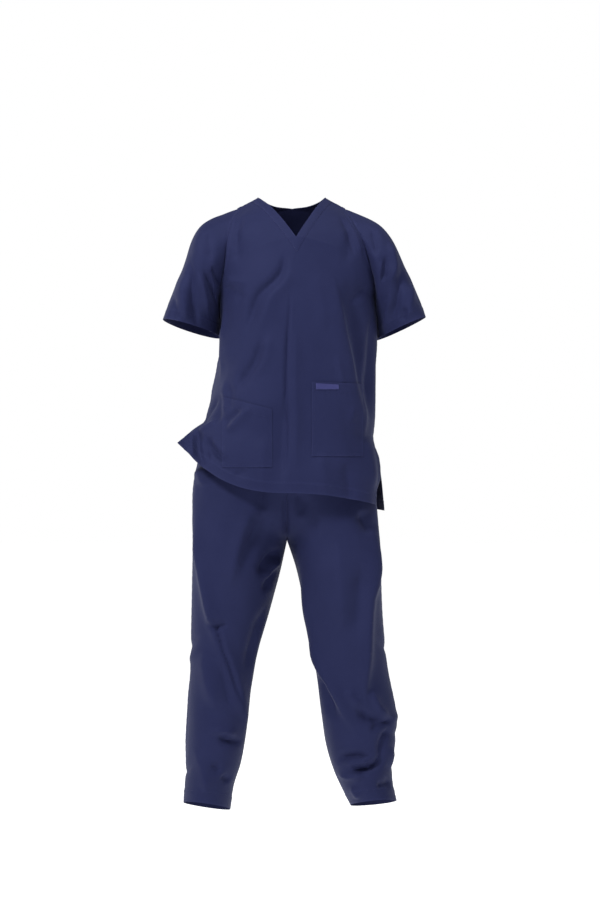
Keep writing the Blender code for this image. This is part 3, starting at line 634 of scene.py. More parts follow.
# %% Folds on the front of the top
# each: points (x, z) from top to bottom, half width, height, lean; metres.
# a height below zero is a trough; lean above zero is steeper towards -X when
# the fold runs downwards
TOP_FRONT = [
    # the diagonal pull from the foot of the V to the wearer's right
    ([(-0.016, -0.128), (-0.021, -0.178), (-0.040, -0.206), (-0.077, -0.238),
      (-0.094, -0.282), (-0.108, -0.335)], 0.013, -0.0060, 0.3),
    ([(0.000, -0.140), (-0.010, -0.200), (-0.045, -0.240), (-0.066, -0.300),
      (-0.080, -0.350)], 0.016, 0.0036, 0.0),
    ([(-0.064, -0.332), (-0.086, -0.393), (-0.112, -0.430), (-0.130, -0.470)],
     0.012, -0.0052, 0.2),
    ([(-0.044, -0.325), (-0.066, -0.395), (-0.090, -0.440)], 0.014, 0.0026, 0.0),
    # the pressed centre line
    ([(-0.004, -0.200), (-0.002, -0.260), (-0.005, -0.313), (-0.010, -0.377),
      (-0.012, -0.452), (-0.010, -0.520), (-0.010, -0.600), (-0.010, -0.680)],
     0.0042, -0.0030, -0.3),
    ([(-0.016, -0.460), (-0.020, -0.540), (-0.022, -0.620), (-0.020, -0.690)],
     0.022, -0.0056, -0.5),
    ([(0.012, -0.300), (0.010, -0.420), (0.012, -0.540), (0.012, -0.670)],
     0.018, 0.0030, -0.2),
    # the long fold down the wearer's left
    ([(0.094, -0.180), (0.112, -0.259), (0.128, -0.334), (0.142, -0.393),
      (0.152, -0.450), (0.164, -0.520), (0.172, -0.580)], 0.023, 0.0080, -0.5),
    ([(0.126, -0.200), (0.148, -0.270), (0.164, -0.340), (0.177, -0.410),
      (0.184, -0.480), (0.196, -0.560)], 0.027, -0.0125, -0.2),
    ([(0.104, -0.372), (0.112, -0.410), (0.120, -0.460)], 0.007, 0.0020, 0.0),
    ([(0.140, -0.495), (0.141, -0.540)], 0.008, 0.0016, 0.0),
    ([(0.060, -0.180), (0.072, -0.260), (0.078, -0.330)], 0.020, 0.0022, 0.0),
    ([(0.178, -0.560), (0.190, -0.640), (0.196, -0.700)], 0.016, 0.0040, 0.0),
    ([(0.128, -0.620), (0.134, -0.670), (0.140, -0.730)], 0.018, -0.0036, 0.0),
    ([(0.070, -0.600), (0.076, -0.660), (0.080, -0.720)], 0.022, 0.0030, 0.0),
    # where the hand pulls the pocket up and out
    ([(-0.090, -0.498), (-0.118, -0.524), (-0.152, -0.560)], 0.010, 0.0050, 0.2),
    ([(-0.110, -0.500), (-0.136, -0.522), (-0.166, -0.545)], 0.010, -0.0030, 0.0),
    ([(-0.168, -0.460), (-0.170, -0.500), (-0.176, -0.545)], 0.014, -0.0050, 0.0),
    ([(-0.144, -0.440), (-0.144, -0.480), (-0.150, -0.515)], 0.012, -0.0032, 0.0),
    ([(-0.156, -0.430), (-0.157, -0.480), (-0.160, -0.520)], 0.010, 0.0026, 0.0),
    ([(-0.205, -0.562), (-0.182, -0.600), (-0.150, -0.634)], 0.010, -0.0050, 0.2),
    ([(-0.214, -0.540), (-0.219, -0.585), (-0.208, -0.623), (-0.198, -0.650)],
     0.009, -0.0048, 0.0),
    ([(-0.204, -0.570), (-0.192, -0.630)], 0.006, -0.0028, 0.0),
    ([(-0.226, -0.556), (-0.232, -0.590), (-0.226, -0.620)], 0.010, 0.0036, 0.0),
    ([(-0.188, -0.570), (-0.164, -0.600), (-0.140, -0.616)], 0.009, 0.0030, 0.0),
    ([(-0.098, -0.644), (-0.136, -0.662)], 0.010, -0.0020, 0.0),
    ([(-0.060, -0.560), (-0.064, -0.630), (-0.066, -0.690)], 0.022, 0.0028, 0.0),
    # pulls from each armpit and the shoulders
    ([(-0.160, -0.214), (-0.132, -0.232), (-0.104, -0.240)], 0.009, -0.0026, 0.0),
    ([(-0.158, -0.196), (-0.128, -0.206), (-0.098, -0.208)], 0.009, 0.0020, 0.0),
    ([(0.184, -0.214), (0.158, -0.236), (0.140, -0.262)], 0.009, -0.0026, 0.0),
    ([(-0.142, -0.070), (-0.126, -0.120), (-0.124, -0.170)], 0.014, -0.0022, 0.0),
    ([(0.148, -0.070), (0.134, -0.120), (0.132, -0.170)], 0.014, -0.0022, 0.0),
    ([(-0.112, -0.045), (-0.128, -0.090), (-0.134, -0.140)], 0.008, -0.0022, 0.0),
    ([(0.112, -0.045), (0.140, -0.100), (0.150, -0.150)], 0.008, -0.0026, 0.0),
    ([(0.128, -0.050), (0.156, -0.105), (0.168, -0.150)], 0.006, 0.0020, 0.0),
    ([(-0.164, -0.300), (-0.150, -0.350), (-0.150, -0.410)], 0.016, 0.0030, 0.0)]
print(len(TOP_FRONT), "folds on the front of the top")

# %% Folds on the back and sides of the top
TOP_BACK = [
    ([(-0.120, -0.150), (-0.104, -0.300), (-0.088, -0.460), (-0.080, -0.680)],
     0.024, 0.0064, 0.2),
    ([(-0.066, -0.240), (-0.052, -0.400), (-0.046, -0.560), (-0.050, -0.710)],
     0.018, -0.0040, 0.0),
    ([(0.118, -0.160), (0.098, -0.300), (0.094, -0.460), (0.104, -0.700)],
     0.026, 0.0068, -0.2),
    ([(0.060, -0.260), (0.050, -0.400), (0.058, -0.560), (0.064, -0.720)],
     0.018, -0.0042, 0.0),
    ([(0.004, -0.200), (0.006, -0.360), (0.010, -0.540), (0.012, -0.720)],
     0.022, -0.0048, 0.0),
    ([(-0.020, -0.260), (-0.016, -0.380), (-0.018, -0.500)], 0.016, 0.0027, 0.0),
    ([(0.030, -0.420), (0.034, -0.560), (0.036, -0.700)], 0.014, 0.0032, 0.2),
    ([(-0.150, -0.360), (-0.140, -0.480), (-0.138, -0.620)], 0.016, 0.0034, 0.0),
    ([(0.154, -0.380), (0.150, -0.500), (0.156, -0.650)], 0.018, 0.0037, 0.0),
    ([(-0.130, -0.560), (-0.124, -0.640), (-0.126, -0.720)], 0.016, -0.0032, 0.0),
    # pulls across the shoulder blades and above the seat
    ([(-0.150, -0.130), (-0.100, -0.150), (-0.050, -0.146)], 0.012, -0.0021, 0.0),
    ([(0.152, -0.124), (0.106, -0.140), (0.060, -0.150)], 0.012, -0.0022, 0.0),
    ([(-0.156, -0.190), (-0.110, -0.216), (-0.070, -0.222)], 0.012, 0.0024, 0.0),
    ([(0.160, -0.200), (0.120, -0.222), (0.080, -0.236)], 0.012, 0.0024, 0.0),
    ([(-0.110, -0.402), (-0.050, -0.416), (0.020, -0.408)], 0.012, -0.0024, 0.2),
    ([(-0.020, -0.440), (0.050, -0.452), (0.110, -0.440)], 0.011, -0.0021, 0.2),
    ([(-0.090, -0.374), (-0.030, -0.384), (0.030, -0.378)], 0.010, 0.0018, 0.0)]
# sides: points (y, z)
TOP_RIGHT = [
    ([(0.050, -0.260), (0.046, -0.330), (0.040, -0.420)], 0.014, -0.0040, 0.0),
    ([(-0.040, -0.250), (-0.044, -0.340), (-0.052, -0.440)], 0.015, 0.0040, 0.0),
    ([(0.018, -0.350), (0.012, -0.420), (0.004, -0.500)], 0.014, 0.0030, 0.0),
    ([(0.070, -0.400), (0.070, -0.500), (0.074, -0.620)], 0.016, 0.0050, 0.0),
    ([(0.034, -0.560), (0.040, -0.620), (0.050, -0.690)], 0.012, -0.0036, 0.0),
    ([(-0.060, -0.470), (-0.030, -0.520), (0.000, -0.540)], 0.012, -0.0040, 0.0),
    ([(-0.090, -0.520), (-0.060, -0.555), (-0.030, -0.570)], 0.010, 0.0036, 0.0)]
TOP_LEFT = [
    ([(0.050, -0.345), (0.052, -0.420), (0.056, -0.520)], 0.016, 0.0046, 0.0),
    ([(-0.036, -0.260), (-0.040, -0.380), (-0.050, -0.500)], 0.016, -0.0044, 0.0),
    ([(-0.062, -0.320), (-0.070, -0.440), (-0.078, -0.580)], 0.015, 0.0050, 0.2),
    ([(0.012, -0.350), (0.010, -0.440), (0.012, -0.560)], 0.012, -0.0036, 0.0),
    ([(0.082, -0.420), (0.084, -0.540), (0.086, -0.680)], 0.016, -0.0044, 0.0),
    ([(-0.030, -0.580), (-0.034, -0.640), (-0.038, -0.700)], 0.012, 0.0034, 0.0)]
print(len(TOP_BACK), "on its back and", len(TOP_RIGHT) + len(TOP_LEFT), "on its sides")

# %% Folds on the sleeves
SLEEVE_RIGHT = {
    "front": [([(-0.238, -0.150), (-0.233, -0.227), (-0.228, -0.270), (-0.220, -0.322)],
               0.010, -0.0052, 0.1),
              ([(-0.258, -0.190), (-0.252, -0.250), (-0.244, -0.300)], 0.013, 0.0040, 0.0),
              ([(-0.206, -0.176), (-0.182, -0.227), (-0.174, -0.262)], 0.007, -0.0034, 0.0),
              ([(-0.220, -0.180), (-0.203, -0.230), (-0.196, -0.290)], 0.009, 0.0036, 0.0),
              ([(-0.186, -0.166), (-0.164, -0.216)], 0.008, -0.0034, 0.0),
              ([(-0.196, -0.080), (-0.190, -0.130), (-0.184, -0.160)], 0.012, -0.0024, 0.0),
              ([(-0.278, -0.230), (-0.272, -0.270), (-0.264, -0.300)], 0.009, -0.0026, 0.0)],
    "back": [([(-0.200, -0.120), (-0.216, -0.200), (-0.216, -0.290)], 0.012, -0.0046, 0.0),
             ([(-0.240, -0.170), (-0.246, -0.240), (-0.250, -0.300)], 0.013, 0.0040, 0.0),
             ([(-0.174, -0.170), (-0.190, -0.220), (-0.192, -0.280)], 0.010, 0.0034, 0.0),
             ([(-0.180, -0.200), (-0.204, -0.240), (-0.232, -0.250)], 0.008, -0.0026, 0.0)],
    "right": [([(0.030, -0.150), (0.034, -0.220), (0.036, -0.290)], 0.012, -0.0014, 0.0),
              ([(-0.020, -0.170), (-0.022, -0.230), (-0.020, -0.290)], 0.012, 0.0012, 0.0),
              ([(0.060, -0.190), (0.062, -0.240), (0.060, -0.290)], 0.010, 0.0012, 0.0)]}
SLEEVE_LEFT = {
    "front": [([(0.190, -0.074), (0.196, -0.110), (0.200, -0.150)], 0.009, -0.0034, 0.0),
              ([(0.224, -0.140), (0.219, -0.176), (0.212, -0.210)], 0.007, -0.0036, 0.0),
              ([(0.262, -0.170), (0.256, -0.215), (0.248, -0.250), (0.234, -0.300)],
               0.010, -0.0048, -0.1),
              ([(0.228, -0.098), (0.239, -0.141), (0.244, -0.170), (0.232, -0.215)],
               0.009, 0.0040, 0.0),
              ([(0.214, -0.152), (0.211, -0.176), (0.208, -0.206)], 0.005, 0.0018, 0.0),
              ([(0.284, -0.200), (0.280, -0.250), (0.276, -0.300)], 0.012, 0.0034, 0.0),
              ([(0.238, -0.230), (0.226, -0.280), (0.222, -0.330)], 0.009, 0.0032, 0.0),
              ([(0.268, -0.262), (0.262, -0.300)], 0.008, -0.0022, 0.0)],
    "back": [([(0.206, -0.110), (0.230, -0.190), (0.238, -0.290)], 0.012, -0.0046, 0.0),
             ([(0.250, -0.160), (0.262, -0.230), (0.268, -0.300)], 0.013, 0.0042, 0.0),
             ([(0.200, -0.180), (0.216, -0.230), (0.220, -0.300)], 0.010, 0.0034, 0.0)],
    "left": [([(0.026, -0.150), (0.030, -0.220), (0.030, -0.290)], 0.012, -0.0014, 0.0),
             ([(-0.022, -0.160), (-0.026, -0.230), (-0.024, -0.290)], 0.012, 0.0013, 0.0)]}
print(sum(len(f) for s in (SLEEVE_RIGHT, SLEEVE_LEFT) for f in s.values()), "on the sleeves")

# %% Folds on the trousers
LEGS_FRONT = [
    # the wearer's right leg
    ([(-0.222, -0.700), (-0.220, -0.817), (-0.206, -0.888), (-0.193, -0.966),
      (-0.176, -1.032), (-0.152, -1.104), (-0.128, -1.176), (-0.110, -1.240),
      (-0.106, -1.320)], 0.014, 0.0078, 0.15),
    ([(-0.184, -0.965), (-0.163, -1.060), (-0.142, -1.120), (-0.112, -1.225)],
     0.0100, -0.0078, -0.3),
    ([(-0.196, -1.000), (-0.176, -1.014), (-0.146, -1.004)], 0.009, -0.0040, 0.0),
    ([(-0.170, -1.090), (-0.154, -1.150), (-0.140, -1.210)], 0.009, -0.0026, 0.0),
    ([(-0.206, -1.060), (-0.196, -1.140), (-0.170, -1.220)], 0.018, 0.0046, 0.0),
    ([(-0.220, -0.640), (-0.208, -0.664), (-0.200, -0.690)], 0.014, 0.0050, 0.0),
    ([(-0.020, -0.830), (-0.052, -0.858), (-0.078, -0.900)], 0.013, -0.0058, 0.0),
    ([(-0.018, -0.850), (-0.040, -0.880), (-0.060, -0.910)], 0.006, 0.0034, 0.0),
    ([(-0.030, -0.870), (-0.054, -0.912), (-0.068, -0.940)], 0.009, -0.0036, 0.0),
    ([(-0.028, -0.740), (-0.070, -0.772), (-0.100, -0.830), (-0.120, -0.900)],
     0.018, -0.0038, 0.0),
    ([(-0.060, -0.720), (-0.100, -0.760), (-0.130, -0.850), (-0.150, -0.940)],
     0.018, 0.0040, 0.0),
    ([(-0.036, -0.936), (-0.072, -1.044), (-0.090, -1.127), (-0.104, -1.220)],
     0.008, 0.0034, 0.0),
    ([(-0.060, -0.960), (-0.092, -1.060), (-0.112, -1.130)], 0.012, -0.0034, 0.0),
    ([(-0.176, -1.268), (-0.146, -1.284), (-0.112, -1.290)], 0.009, -0.0040, 0.0),
    ([(-0.196, -1.262), (-0.160, -1.262), (-0.124, -1.272)], 0.008, 0.0028, 0.0),
    ([(-0.186, -1.334), (-0.166, -1.362)], 0.009, -0.0028, 0.0),
    ([(-0.164, -1.364), (-0.145, -1.384)], 0.008, -0.0026, 0.0),
    ([(-0.228, -1.300), (-0.206, -1.350), (-0.196, -1.420)], 0.014, 0.0034, 0.0),
    # the seam at the centre front
    ([(-0.012, -0.680), (-0.013, -0.750), (-0.011, -0.818)], 0.0042, -0.0030, 0.0),
    ([(-0.064, -0.670), (-0.066, -0.720), (-0.068, -0.756)], 0.010, -0.0034, 0.0),
    ([(0.018, -0.690), (0.019, -0.730), (0.020, -0.766)], 0.009, -0.0034, 0.0),
    ([(0.010, -0.700), (0.040, -0.740), (0.060, -0.800)], 0.016, -0.0032, 0.0),
    # the wearer's left leg
    ([(0.186, -0.740), (0.196, -0.840), (0.194, -0.900), (0.182, -0.950),
      (0.178, -1.020), (0.177, -1.090), (0.174, -1.160), (0.182, -1.230)],
     0.016, 0.0085, -0.2),
    ([(0.186, -1.160), (0.206, -1.206), (0.236, -1.232)], 0.010, 0.0048, 0.0),
    ([(0.160, -0.740), (0.176, -0.772), (0.194, -0.800)], 0.014, -0.0046, 0.0),
    ([(0.166, -0.860), (0.162, -0.950), (0.156, -1.050)], 0.018, -0.0036, 0.0),
    ([(0.020, -0.860), (0.030, -0.950), (0.044, -1.044), (0.068, -1.104), (0.098, -1.163),
      (0.128, -1.223), (0.162, -1.290)], 0.013, 0.0068, 0.2),
    ([(0.056, -1.120), (0.082, -1.176), (0.110, -1.240)], 0.013, -0.0054, 0.0),
    ([(0.150, -1.205), (0.182, -1.232), (0.224, -1.236)], 0.010, -0.0058, 0.0),
    ([(0.128, -1.160), (0.158, -1.196), (0.170, -1.200)], 0.010, 0.0030, 0.0),
    ([(0.182, -1.262), (0.214, -1.244), (0.246, -1.236)], 0.008, -0.0040, 0.0),
    ([(0.206, -1.326), (0.216, -1.286), (0.236, -1.250)], 0.009, -0.0046, 0.0),
    ([(0.230, -1.300), (0.240, -1.330), (0.240, -1.370)], 0.010, 0.0034, 0.0),
    ([(0.130, -1.356), (0.172, -1.350), (0.206, -1.338), (0.216, -1.300)],
     0.009, -0.0070, 0.1),
    ([(0.104, -1.344), (0.130, -1.322), (0.194, -1.318)], 0.008, -0.0046, 0.0),
    ([(0.120, -1.338), (0.156, -1.336), (0.190, -1.328)], 0.006, 0.0034, 0.0),
    ([(0.106, -1.362), (0.136, -1.370), (0.176, -1.366)], 0.009, 0.0040, 0.0),
    ([(0.198, -1.392), (0.240, -1.384)], 0.009, -0.0034, 0.0),
    ([(0.140, -1.392), (0.152, -1.408), (0.164, -1.424)], 0.009, 0.0032, 0.0),
    ([(0.110, -0.800), (0.116, -0.920), (0.120, -1.040)], 0.022, 0.0034, 0.0)]
LEGS_BACK = [
    ([(-0.214, -0.720), (-0.160, -0.786), (-0.090, -0.826), (-0.030, -0.842)],
     0.014, -0.0035, 0.0),
    ([(0.196, -0.730), (0.150, -0.792), (0.080, -0.832), (0.016, -0.846)],
     0.014, -0.0035, 0.0),
    ([(-0.200, -0.800), (-0.140, -0.856), (-0.070, -0.882)], 0.012, 0.0025, 0.0),
    ([(0.184, -0.812), (0.130, -0.866), (0.060, -0.888)], 0.012, 0.0026, 0.0),
    ([(-0.120, -0.870), (-0.150, -0.980), (-0.156, -1.080)], 0.018, 0.0031, 0.0),
    ([(0.100, -0.880), (0.124, -0.980), (0.130, -1.080)], 0.018, 0.0032, 0.0),
    ([(-0.226, -1.046), (-0.180, -1.080), (-0.110, -1.090)], 0.011, -0.0037, 0.1),
    ([(-0.216, -1.100), (-0.170, -1.128), (-0.104, -1.126)], 0.011, -0.0030, 0.0),
    ([(-0.220, -1.072), (-0.170, -1.106), (-0.110, -1.108)], 0.009, 0.0022, 0.0),
    ([(0.206, -1.036), (0.160, -1.070), (0.090, -1.082)], 0.011, -0.0037, 0.1),
    ([(0.206, -1.096), (0.156, -1.122), (0.096, -1.116)], 0.010, -0.0029, 0.0),
    ([(0.208, -1.066), (0.156, -1.098), (0.100, -1.100)], 0.009, 0.0022, 0.0),
    ([(-0.170, -1.150), (-0.176, -1.260), (-0.190, -1.380)], 0.016, 0.0035, 0.1),
    ([(0.150, -1.150), (0.164, -1.260), (0.180, -1.370)], 0.016, 0.0035, -0.1),
    ([(-0.220, -1.330), (-0.186, -1.352), (-0.150, -1.346)], 0.010, -0.0029, 0.0),
    ([(0.226, -1.336), (0.190, -1.356), (0.146, -1.346)], 0.010, -0.0031, 0.0),
    ([(-0.216, -1.380), (-0.190, -1.396), (-0.156, -1.390)], 0.009, 0.0021, 0.0),
    ([(0.224, -1.386), (0.190, -1.398), (0.150, -1.394)], 0.009, 0.0021, 0.0)]
# sides: points (y, z)
LEGS_RIGHT = [
    ([(-0.040, -0.620), (-0.046, -0.720), (-0.050, -0.820)], 0.016, 0.0013, 0.0),
    ([(0.050, -0.700), (0.040, -0.840), (0.036, -0.980)], 0.018, -0.0014, 0.0),
    ([(-0.070, -1.030), (-0.020, -1.060), (0.040, -1.076)], 0.011, -0.0013, 0.0),
    ([(-0.060, -1.066), (-0.010, -1.092), (0.050, -1.104)], 0.010, 0.0010, 0.0),
    ([(0.010, -1.120), (0.016, -1.240), (0.030, -1.360)], 0.014, 0.0015, 0.0),
    ([(-0.050, -1.340), (0.000, -1.366), (0.060, -1.362)], 0.010, -0.0013, 0.0)]
LEGS_LEFT = [
    ([(-0.044, -0.640), (-0.040, -0.740), (-0.050, -0.860)], 0.016, 0.0013, 0.0),
    ([(0.046, -0.680), (0.044, -0.820), (0.030, -0.960)], 0.018, -0.0014, 0.0),
    ([(-0.064, -1.046), (-0.010, -1.070), (0.050, -1.074)], 0.011, -0.0014, 0.0),
    ([(-0.080, -1.222), (-0.020, -1.236), (0.040, -1.226)], 0.011, 0.0014, 0.0),
    ([(-0.060, -1.262), (-0.006, -1.276), (0.050, -1.270)], 0.010, -0.0014, 0.0),
    ([(-0.070, -1.344), (-0.010, -1.352), (0.060, -1.344)], 0.010, -0.0014, 0.0),
    ([(0.040, -1.110), (0.050, -1.180), (0.056, -1.240)], 0.014, 0.0011, 0.0)]
print(len(LEGS_FRONT) + len(LEGS_BACK), "down the legs,", len(LEGS_RIGHT) + len(LEGS_LEFT),
      "round their sides")

# %% [markdown]
# ## Distance from an edge
# Hems, seam turnings and rows of stitches all run at a set distance from an
# edge of their panel. A grid knows its edges: the first row is the hem, the
# last row the top, and the last column the side. Turning the grid so that the
# wanted edge comes first lets one function measure them all.

# %% Turn a grid so that one edge comes first, and measure from it
TURNS = {"hem": lambda g: g, "crown": lambda g: g[::-1],
         "inner": lambda g: g.swapaxes(0, 1), "outer": lambda g: g.swapaxes(0, 1)[::-1]}


def measure(grid):
    """How far each point of a turned grid is from its first row."""
    steps = np.linalg.norm(np.diff(grid, axis=0), axis=2)
    return np.pad(np.cumsum(steps, axis=0), ((1, 0), (0, 0)))


def from_edge(sheet, edge):
    """Each grid's distances from one edge, back in the grid's own order."""
    found = []
    for ids in sheet.ids:
        far = measure(TURNS[edge](sheet.plain[ids]))
        far = far[::-1] if edge in ("crown", "outer") else far
        found.append(far.T if edge in ("inner", "outer") else far)
    return found


print("edges:", ", ".join(TURNS))

# %% [markdown]
# ## Hems, turnings and ripples
# A hem is the cloth folded up twice, so it stands about one layer proud and
# ends in a small ledge. Turned seams at the armholes do the same more narrowly.
# Stitching gathers the cloth a little, which leaves small ripples along every
# hem and seam. A bump map could fake these, but the ledge catches light in
# close views, so it is real height. Broad faint waves are added all over,
# because no worn cloth is smooth between its folds.

# %% Ledges and ripples
chance = np.random.default_rng(11)


def waves(points, length, height, stretch=(1, 1, 0.45)):
    """Soft uneven waves, longer up and down than across."""
    total = np.zeros(len(points))
    for _ in range(9):
        way = unit(chance.normal(size=3)) * np.array(stretch)
        total += np.sin(points @ way * 2 * math.pi / (length * chance.uniform(0.7, 1.4))
                        + chance.uniform(0, 2 * math.pi))
    return total * height / 3


def ledge(sheet, edge, depth, lift, rows=(0, 1)):
    """Raise a strip beside an edge, gather it slightly, and mark it for the painted highlight along
    edges.
    """
    values, marks = [], []
    for ids, far in zip(sheet.ids, from_edge(sheet, edge)):
        share = np.linspace(0, 1, ids.shape[0])
        if sheet.rows is not None:
            share = sheet.rows
        inside = ((share >= rows[0]) & (share <= rows[1]))[:, None]
        strip = 1 - ease((far - depth + 0.001) / 0.002)
        along = sheet.plain[ids]
        ripple = np.sin((along[..., 0] * 1.3 + along[..., 2] * 1.1 + along[..., 1]) * 330)
        ripple = ripple * 0.00022 * np.exp(-(far - depth)**2 / 0.011**2)
        values.append(np.where(inside, lift * strip + ripple, 0))
        # where the painted highlight lies: at the edge itself and along the hem's fold
        marks.append(np.where(inside, np.exp(-far / 0.0025)
                              + 0.6 * np.exp(-np.abs(far - depth) / 0.0015), 0))
    sheet.height += sheet.spread(values)
    sheet.edge = np.maximum(sheet.edge, sheet.spread(marks))


print("a ledge can run beside the", ", ".join(TURNS))

# %% Press the folds, hems and turnings into every sheet
PRESSED = {"top": {"front": TOP_FRONT, "back": TOP_BACK, "right": TOP_RIGHT, "left": TOP_LEFT},
           "legs": {"front": LEGS_FRONT, "back": LEGS_BACK, "right": LEGS_RIGHT,
                    "left": LEGS_LEFT}}
HEM_TOP, HEM_VENT, HEM_SLEEVE, HEM_LEG, TURNING = 0.024, 0.020, 0.025, 0.030, 0.009
for sheet in sheets.values():
    sheet.height = waves(sheet.points, 0.11, 0.0007) + waves(sheet.points, 0.042, 0.00025)
    sheet.rows = None
    folds = PRESSED[sheet.garment]
    if sheet.name.startswith("sleeve"):
        folds = SLEEVE_RIGHT if sheet.name.endswith("right") else SLEEVE_LEFT
    for face, lines in folds.items():
        if sheet.garment == "legs" and face in HALVES and not sheet.name.endswith(face):
            continue                        # each leg's side folds are on its outer side
        press(sheet, face, lines)
    if sheet.name.startswith("top"):        # the sharp armhole seam stays where it is sewn
        still = [np.where((TOP_ROWS > ARMPIT - 0.02)[:, None], ease(far / 0.014), 1)
                 for far in from_edge(sheet, "outer")]
        sheet.height *= sheet.spread(still)
    elif sheet.name.startswith("sleeve"):
        sheet.height *= sheet.spread([ease(far / 0.014) for far in from_edge(sheet, "hem")])
    if sheet.name.startswith("top"):
        sheet.rows = TOP_ROWS
        ledge(sheet, "hem", HEM_TOP, 0.0008)
        ledge(sheet, "outer", HEM_VENT, 0.0007, rows=(0, VENT))
        ledge(sheet, "outer", TURNING, 0.0010, rows=(ARMPIT, 1))
        ledge(sheet, "outer", 0.004, 0.0002, rows=(VENT, ARMPIT))
        if sheet.name.endswith("back"):
            ledge(sheet, "crown", TURNING, 0.0005)
    elif sheet.name.startswith("sleeve"):
        ledge(sheet, "crown", HEM_SLEEVE, 0.0008)
        ledge(sheet, "hem", 0.003, -0.0005)
    else:
        sheet.rows = LEG_ROWS
        ledge(sheet, "hem", HEM_LEG, 0.0008)
        ledge(sheet, "outer", 0.005, 0.0003)
for garment in PRESSED:
    # waves are drawn sheet by sheet, so the heights are made to agree at the seams
    group = [s for s in sheets.values() if s.garment == garment]
    every = np.concatenate([s.plain for s in group])
    keys = np.unique(np.round(every, 6), axis=0, return_inverse=True)[1].ravel()
    heights = np.concatenate([s.height for s in group])
    level = np.bincount(keys, heights) / np.bincount(keys)
    start = 0
    for sheet in group:
        meet = keys[start:start + len(sheet.points)]
        start += len(sheet.points)
        sheet.points = sheet.plain + sheet.normals * level[meet][:, None]
    shared_normals(group)
print("deepest and highest folds, mm:",
      {s.name: (round(s.height.min() * 1000, 1), round(s.height.max() * 1000, 1))
       for s in sheets.values()})

# %% [markdown]
# ## The cloth itself
# The scrubs are a smooth, tightly woven poly-cotton poplin in navy. Its weave
# is under a millimetre, so from across a room only its softness shows: a dull
# face with a faint bluish sheen where it turns away. A slightly paler line is
# painted along edges and hem lines, a painted highlight where light catches the
# seams. Two wave textures on the flat cloth's own layout make the threads,
# which then bend with each fold; noise in the object's space gives the uneven
# dye. Sheen and gloss are set straight on the shader's sockets. The inside faces
# get a darker copy of the cloth, painted shade for the garment's inside.

